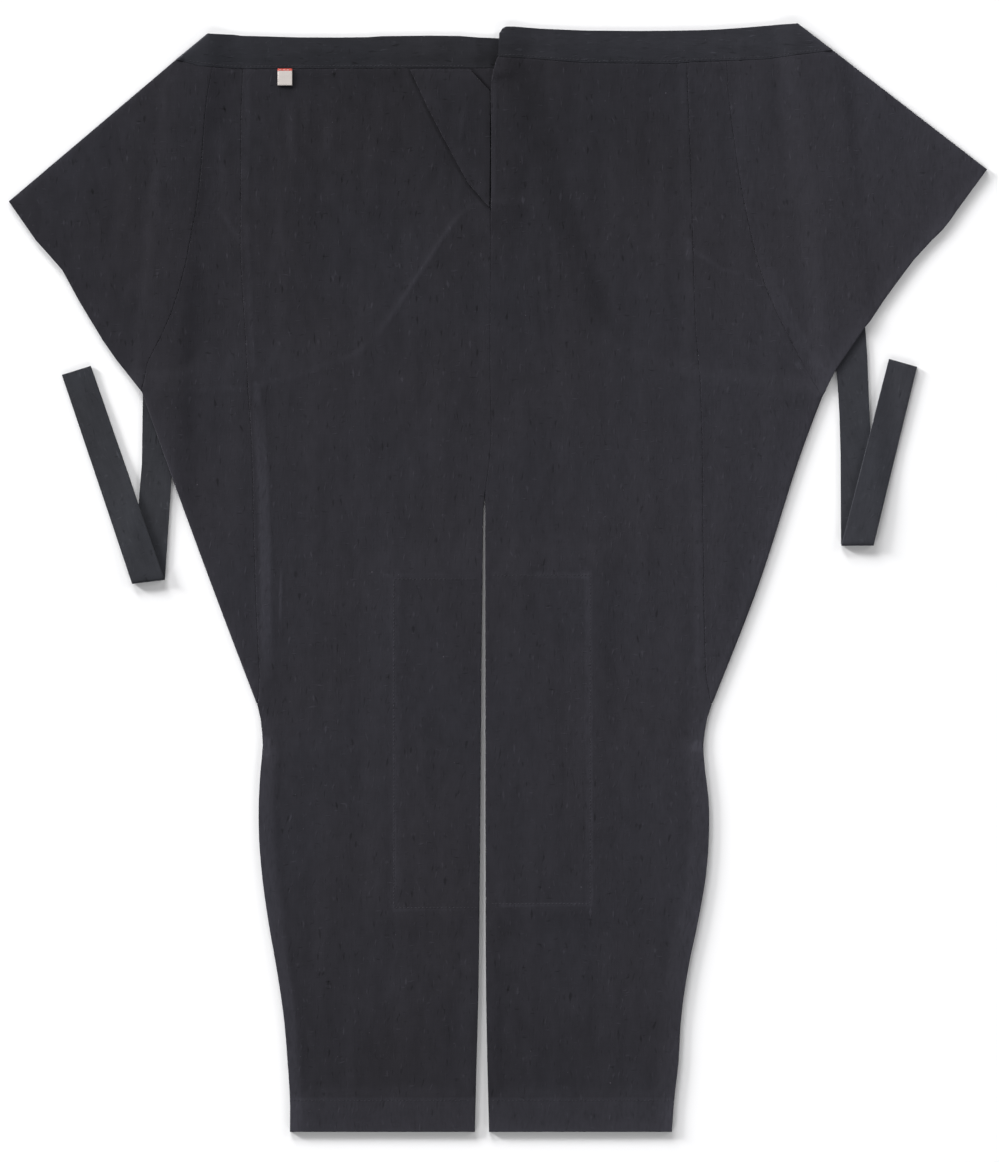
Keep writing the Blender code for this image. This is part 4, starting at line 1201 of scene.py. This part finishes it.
def make_front(side):
    seam = seam_up_to_band(side, SIDE_SEAM, -HALF_GAP)
    top_reach = abs(seam[-1, 0])
    if side == LEFT:
        above = joined(underlap_outline()[1:3], under_band(side, -UNDERLAP_REACH, top_reach)[1:-1])
    else:
        opening = smooth(OPENING_EDGE) + (HALF_GAP, 0)
        above = joined(opening[1:], under_band(side, BAND_SEAM[side][0][0], top_reach)[:-1])
    outline = joined(
        smooth(CENTRE_SEAM) + (SIGN[side] * HALF_GAP, 0),
        above,
        seam[::-1],
        THIGH_FOLD[side][0] - (SIGN[side] * FOOT_INSET, FOOT_INSET),
        leg_edge(side, OUTER_EDGE)[::-1],
        leg_edge(side, INNER_EDGE),
    )
    outer, inner = OUTER_EDGE[0][1 + side] - HEM_STITCH_END, INNER_EDGE[0][1 + side] + HEM_STITCH_END
    sewn = [patch_row(side), on_side(side, (outer, HEM_STITCH, inner, HEM_STITCH))]
    piece = Piece(
        named("front", side), side, TOP_FLOORS[side], cotton, [named("back", side)],
        doubled=doubling, shades=LEFT_FRONT_SHADES if side == LEFT else (), sewn=sewn,
    )
    lay(piece, outline)


def make_back(side):
    """The strip beside the front, folded at the thigh's edge into the layer hidden under the leg."""
    low, high = THIGH_FOLD[side]
    fold = Fold(low, high, (0, high[1]), CLOTH, THIGH_BULGE[side])
    side_seam = seam_up_to_band(side, SIDE_SEAM, HALF_GAP)
    wing_seam = seam_up_to_band(side, WING_SEAM, -HALF_GAP)
    top = under_band(side, abs(side_seam[-1, 0]), abs(wing_seam[-1, 0]))[1:-1]
    upper = joined(side_seam, top, wing_seam[::-1], high)
    lower = joined(
        back_edge(side)[::-1][:-1],
        on_side(side, (HALF_GAP, BACK_TOP, HALF_GAP, CROTCH_HEIGHT)),
        leg_edge(side, INNER_EDGE)[::-1],
        leg_edge(side, OUTER_EDGE),
        fold.place(np.zeros(1), np.array([fold.radius])),
    )
    along, unrolled = fold.clipped(fold.flat(lower[:3], -1), -1)[:1].T
    first = fold.place(along, -unrolled + fold.radius - fold.quarter)
    piece = Piece(named("back", side), side, cover_floor, cotton, ["floor"], doubled=doubling)
    lay_folded(piece, fold, upper, joined(first, lower[1:]), back_floor, tail=True)


def make_wing(side):
    """The upper back beside the strip, spread outward and folded under along its diagonal."""
    tip, band_foot = WING_TIP[side][0], BAND_SEAM[side][-1]
    start = band_foot + unit(tip - band_foot) * FOLD_CLEARANCE
    seam = seam_up_to_band(side, WING_SEAM, HALF_GAP)
    foot = THIGH_FOLD[side][1] + (SIGN[side] * SEAM_GAP, SEAM_GAP)
    edge = under_band(side, abs(band_foot[0]) - NEAR_FOLD, abs(seam[-1, 0]))[:-1]
    upper = joined(start, edge, seam[::-1], foot, wing_hem(side)[::-1], tip)
    hidden = beside(TAPE_OUTER[side][:BAND_ROWS], SIGN[side] * GAP)
    lower = joined(tip, HEM_ROWS[side], FLAP_FOOT[side], hidden[1:], start)
    piece = Piece(named("wing", side), side, cover_floor, cotton, ["floor"])
    lay_folded(piece, Fold(start, tip, (0, 0), CLOTH), upper, lower)


def make_waistband(side):
    """The waistband, folded under at the wing's diagonal."""
    outer, inner = TAPE_OUTER[side][:BAND_ROWS], TAPE_INNER[side][:BAND_ROWS]
    first = UNDERLAP_REACH if side == LEFT else BAND_SEAM[side][0][0] + BAND_STITCH_ENDS[0]
    reaches = np.linspace(first, abs(BAND_SEAM[side][-1][0]) - BAND_STITCH_ENDS[1], 12)
    row = on_side(side, [(reach, band_height(side, reach) + TAPE_STITCH) for reach in reaches])
    rests_on = ["floor"] if side == LEFT else ["floor", "waistband_left"]
    shades = LEFT_BAND_SHADES if side == LEFT else ()
    piece = Piece(
        named("waistband", side), side, TOP_FLOORS[side], tape_cotton, rests_on,
        wall=TAPE, thinned=pressed(BAND_SEAM, 0.66, 16), grain=(1, 0), shades=shades, sewn=[row],
    )
    upper = joined(BAND_TOP[side][::-1], BAND_SEAM[side])
    lay_folded(piece, Fold(inner[0], outer[0], (0, 0), TAPE), upper, joined(outer, inner[::-1]))


def make_tie(side):
    """The tie, from the hidden end of the waistband to its crease and back over itself to its free end."""
    outer, inner = TAPE_OUTER[side][BAND_ROWS - 1 :], TAPE_INNER[side][BAND_ROWS - 1 :]
    outer_end, inner_end = (line[0] + unit(line[1] - line[0]) * GAP for line in (outer, inner))
    free_outer, free_inner = TIE_END[side]
    upper = joined(outer[-1], free_outer, free_inner, inner[-1])
    lower = joined(inner[:0:-1], inner_end, outer_end, outer[1:])
    along, across = unit(free_outer - outer[-1]), unit(inner[-1] - outer[-1])
    first, last = outer[-1] + TIE_STITCH_ENDS[0] * along, free_outer - TIE_STITCH_ENDS[1] * along
    row = joined(first + TAPE_STITCH * across, last + TAPE_STITCH * across)
    piece = Piece(named("tie", side), side, cover_floor, tie_cotton, ["floor"], wall=TAPE, grain=along, sewn=[row])
    lay_folded(piece, Fold(outer[-1], inner[-1], outer_end, TAPE), upper, lower, hidden=False)


def make_knee_patch(side):
    rests_on = [named("back", side)]
    lay(Piece(named("knee_patch", side), side, patch_floor, cotton, rests_on, wall=PATCH_WALL), patch_outline(side))


def make_facing():
    piece = Piece("front_facing", LEFT, on_left_front, cotton, ["front_left"], shades=FACING_SHADES)
    lay(piece._replace(thinned=pressed([FACING[1:8]], 0.5, 10)), FACING)


def make_label():
    outer, inner, low, high = LABEL
    row = on_side(LEFT, (outer - 0.9, high - LABEL_STITCH, inner + 0.9, high - LABEL_STITCH))
    piece = Piece("size_label", LEFT, on_left_front, label_tape, ["front_left"], wall=LABEL_WALL, sewn=[row])
    lay(piece, on_side(LEFT, (outer, low, inner, low, inner, high, outer, high)))


# Stage, light and camera


def make_floor():
    nodes = Nodes("pale_floor", 0.95, 0.0, 0.0, 0.5)
    grain = nodes.noise(nodes.add("NewGeometry", output="Position"), (3, 3, 3))
    shade = nodes.mixed(grain, FLOOR_WHITE, [0.99 * channel for channel in FLOOR_WHITE])
    nodes.put(nodes.shader["Base Color"], shade)
    half, height = FLOOR
    corners = [(half * x, half * y, height) for x, y in ((-1, -1), (1, -1), (1, 1), (-1, 1))]
    new_mesh("floor", corners, [(0, 1, 2, 3)], nodes.made)


def make_light():
    for name, azimuth, elevation, distance, size, lit in LIGHTS:
        azimuth, elevation = radians(azimuth), radians(elevation)
        light = bpy.data.lights.new(name, "AREA")
        light.shape = "SQUARE"
        light.size = size
        light.energy = lit * pi * distance**2 / sin(elevation)
        lamp = placed(name, light)
        flat = distance * cos(elevation)
        lamp.location = (flat * cos(azimuth), flat * sin(azimuth), distance * sin(elevation))
        lamp.rotation_euler = (-lamp.location).to_track_quat("-Z", "Y").to_euler()
    world = bpy.data.worlds.new("soft_studio")
    world.use_nodes = True
    background = world.node_tree.nodes["Background"]
    background.inputs["Color"].default_value = (1, 1, 1, 1)
    background.inputs["Strength"].default_value = WORLD_LIGHT
    bpy.context.scene.world = world


def make_camera():
    data = bpy.data.cameras.new("photo_view")
    data.lens = LENS
    data.sensor_width = SENSOR
    camera = placed("photo_view", data)
    x, y = FRAME_CENTRE
    camera.location = (x * MM, y * MM, FRAME_HEIGHT * MM * LENS / SENSOR)
    bpy.context.scene.camera = camera


make_camera()
make_light()
make_floor()
bpy.context.scene.view_settings.view_transform = "Standard"

ROWS = feature_rows()
thread = thread_material("dyed_thread", THREAD_COLOUR)
cotton = Cloth(cotton_material("dyed_cotton_weave", COTTON), "dyed_cotton", thread)
tape_cotton = Cloth(cotton_material("dyed_cotton_tape_weave", TAPE_COTTON), "dyed_cotton_tape", thread)
tie_cotton = Cloth(cotton_material("dyed_cotton_tie_weave", TIE_COTTON), "dyed_cotton_tape", thread)
label_tape = Cloth(label_material(), "label_cotton", thread_material("pale_thread", LABEL_WHITE))

for side in SIDES:
    make_back(side)
    make_knee_patch(side)
    make_front(side)
    make_wing(side)
    make_waistband(side)
    make_tie(side)
make_facing()
make_label()
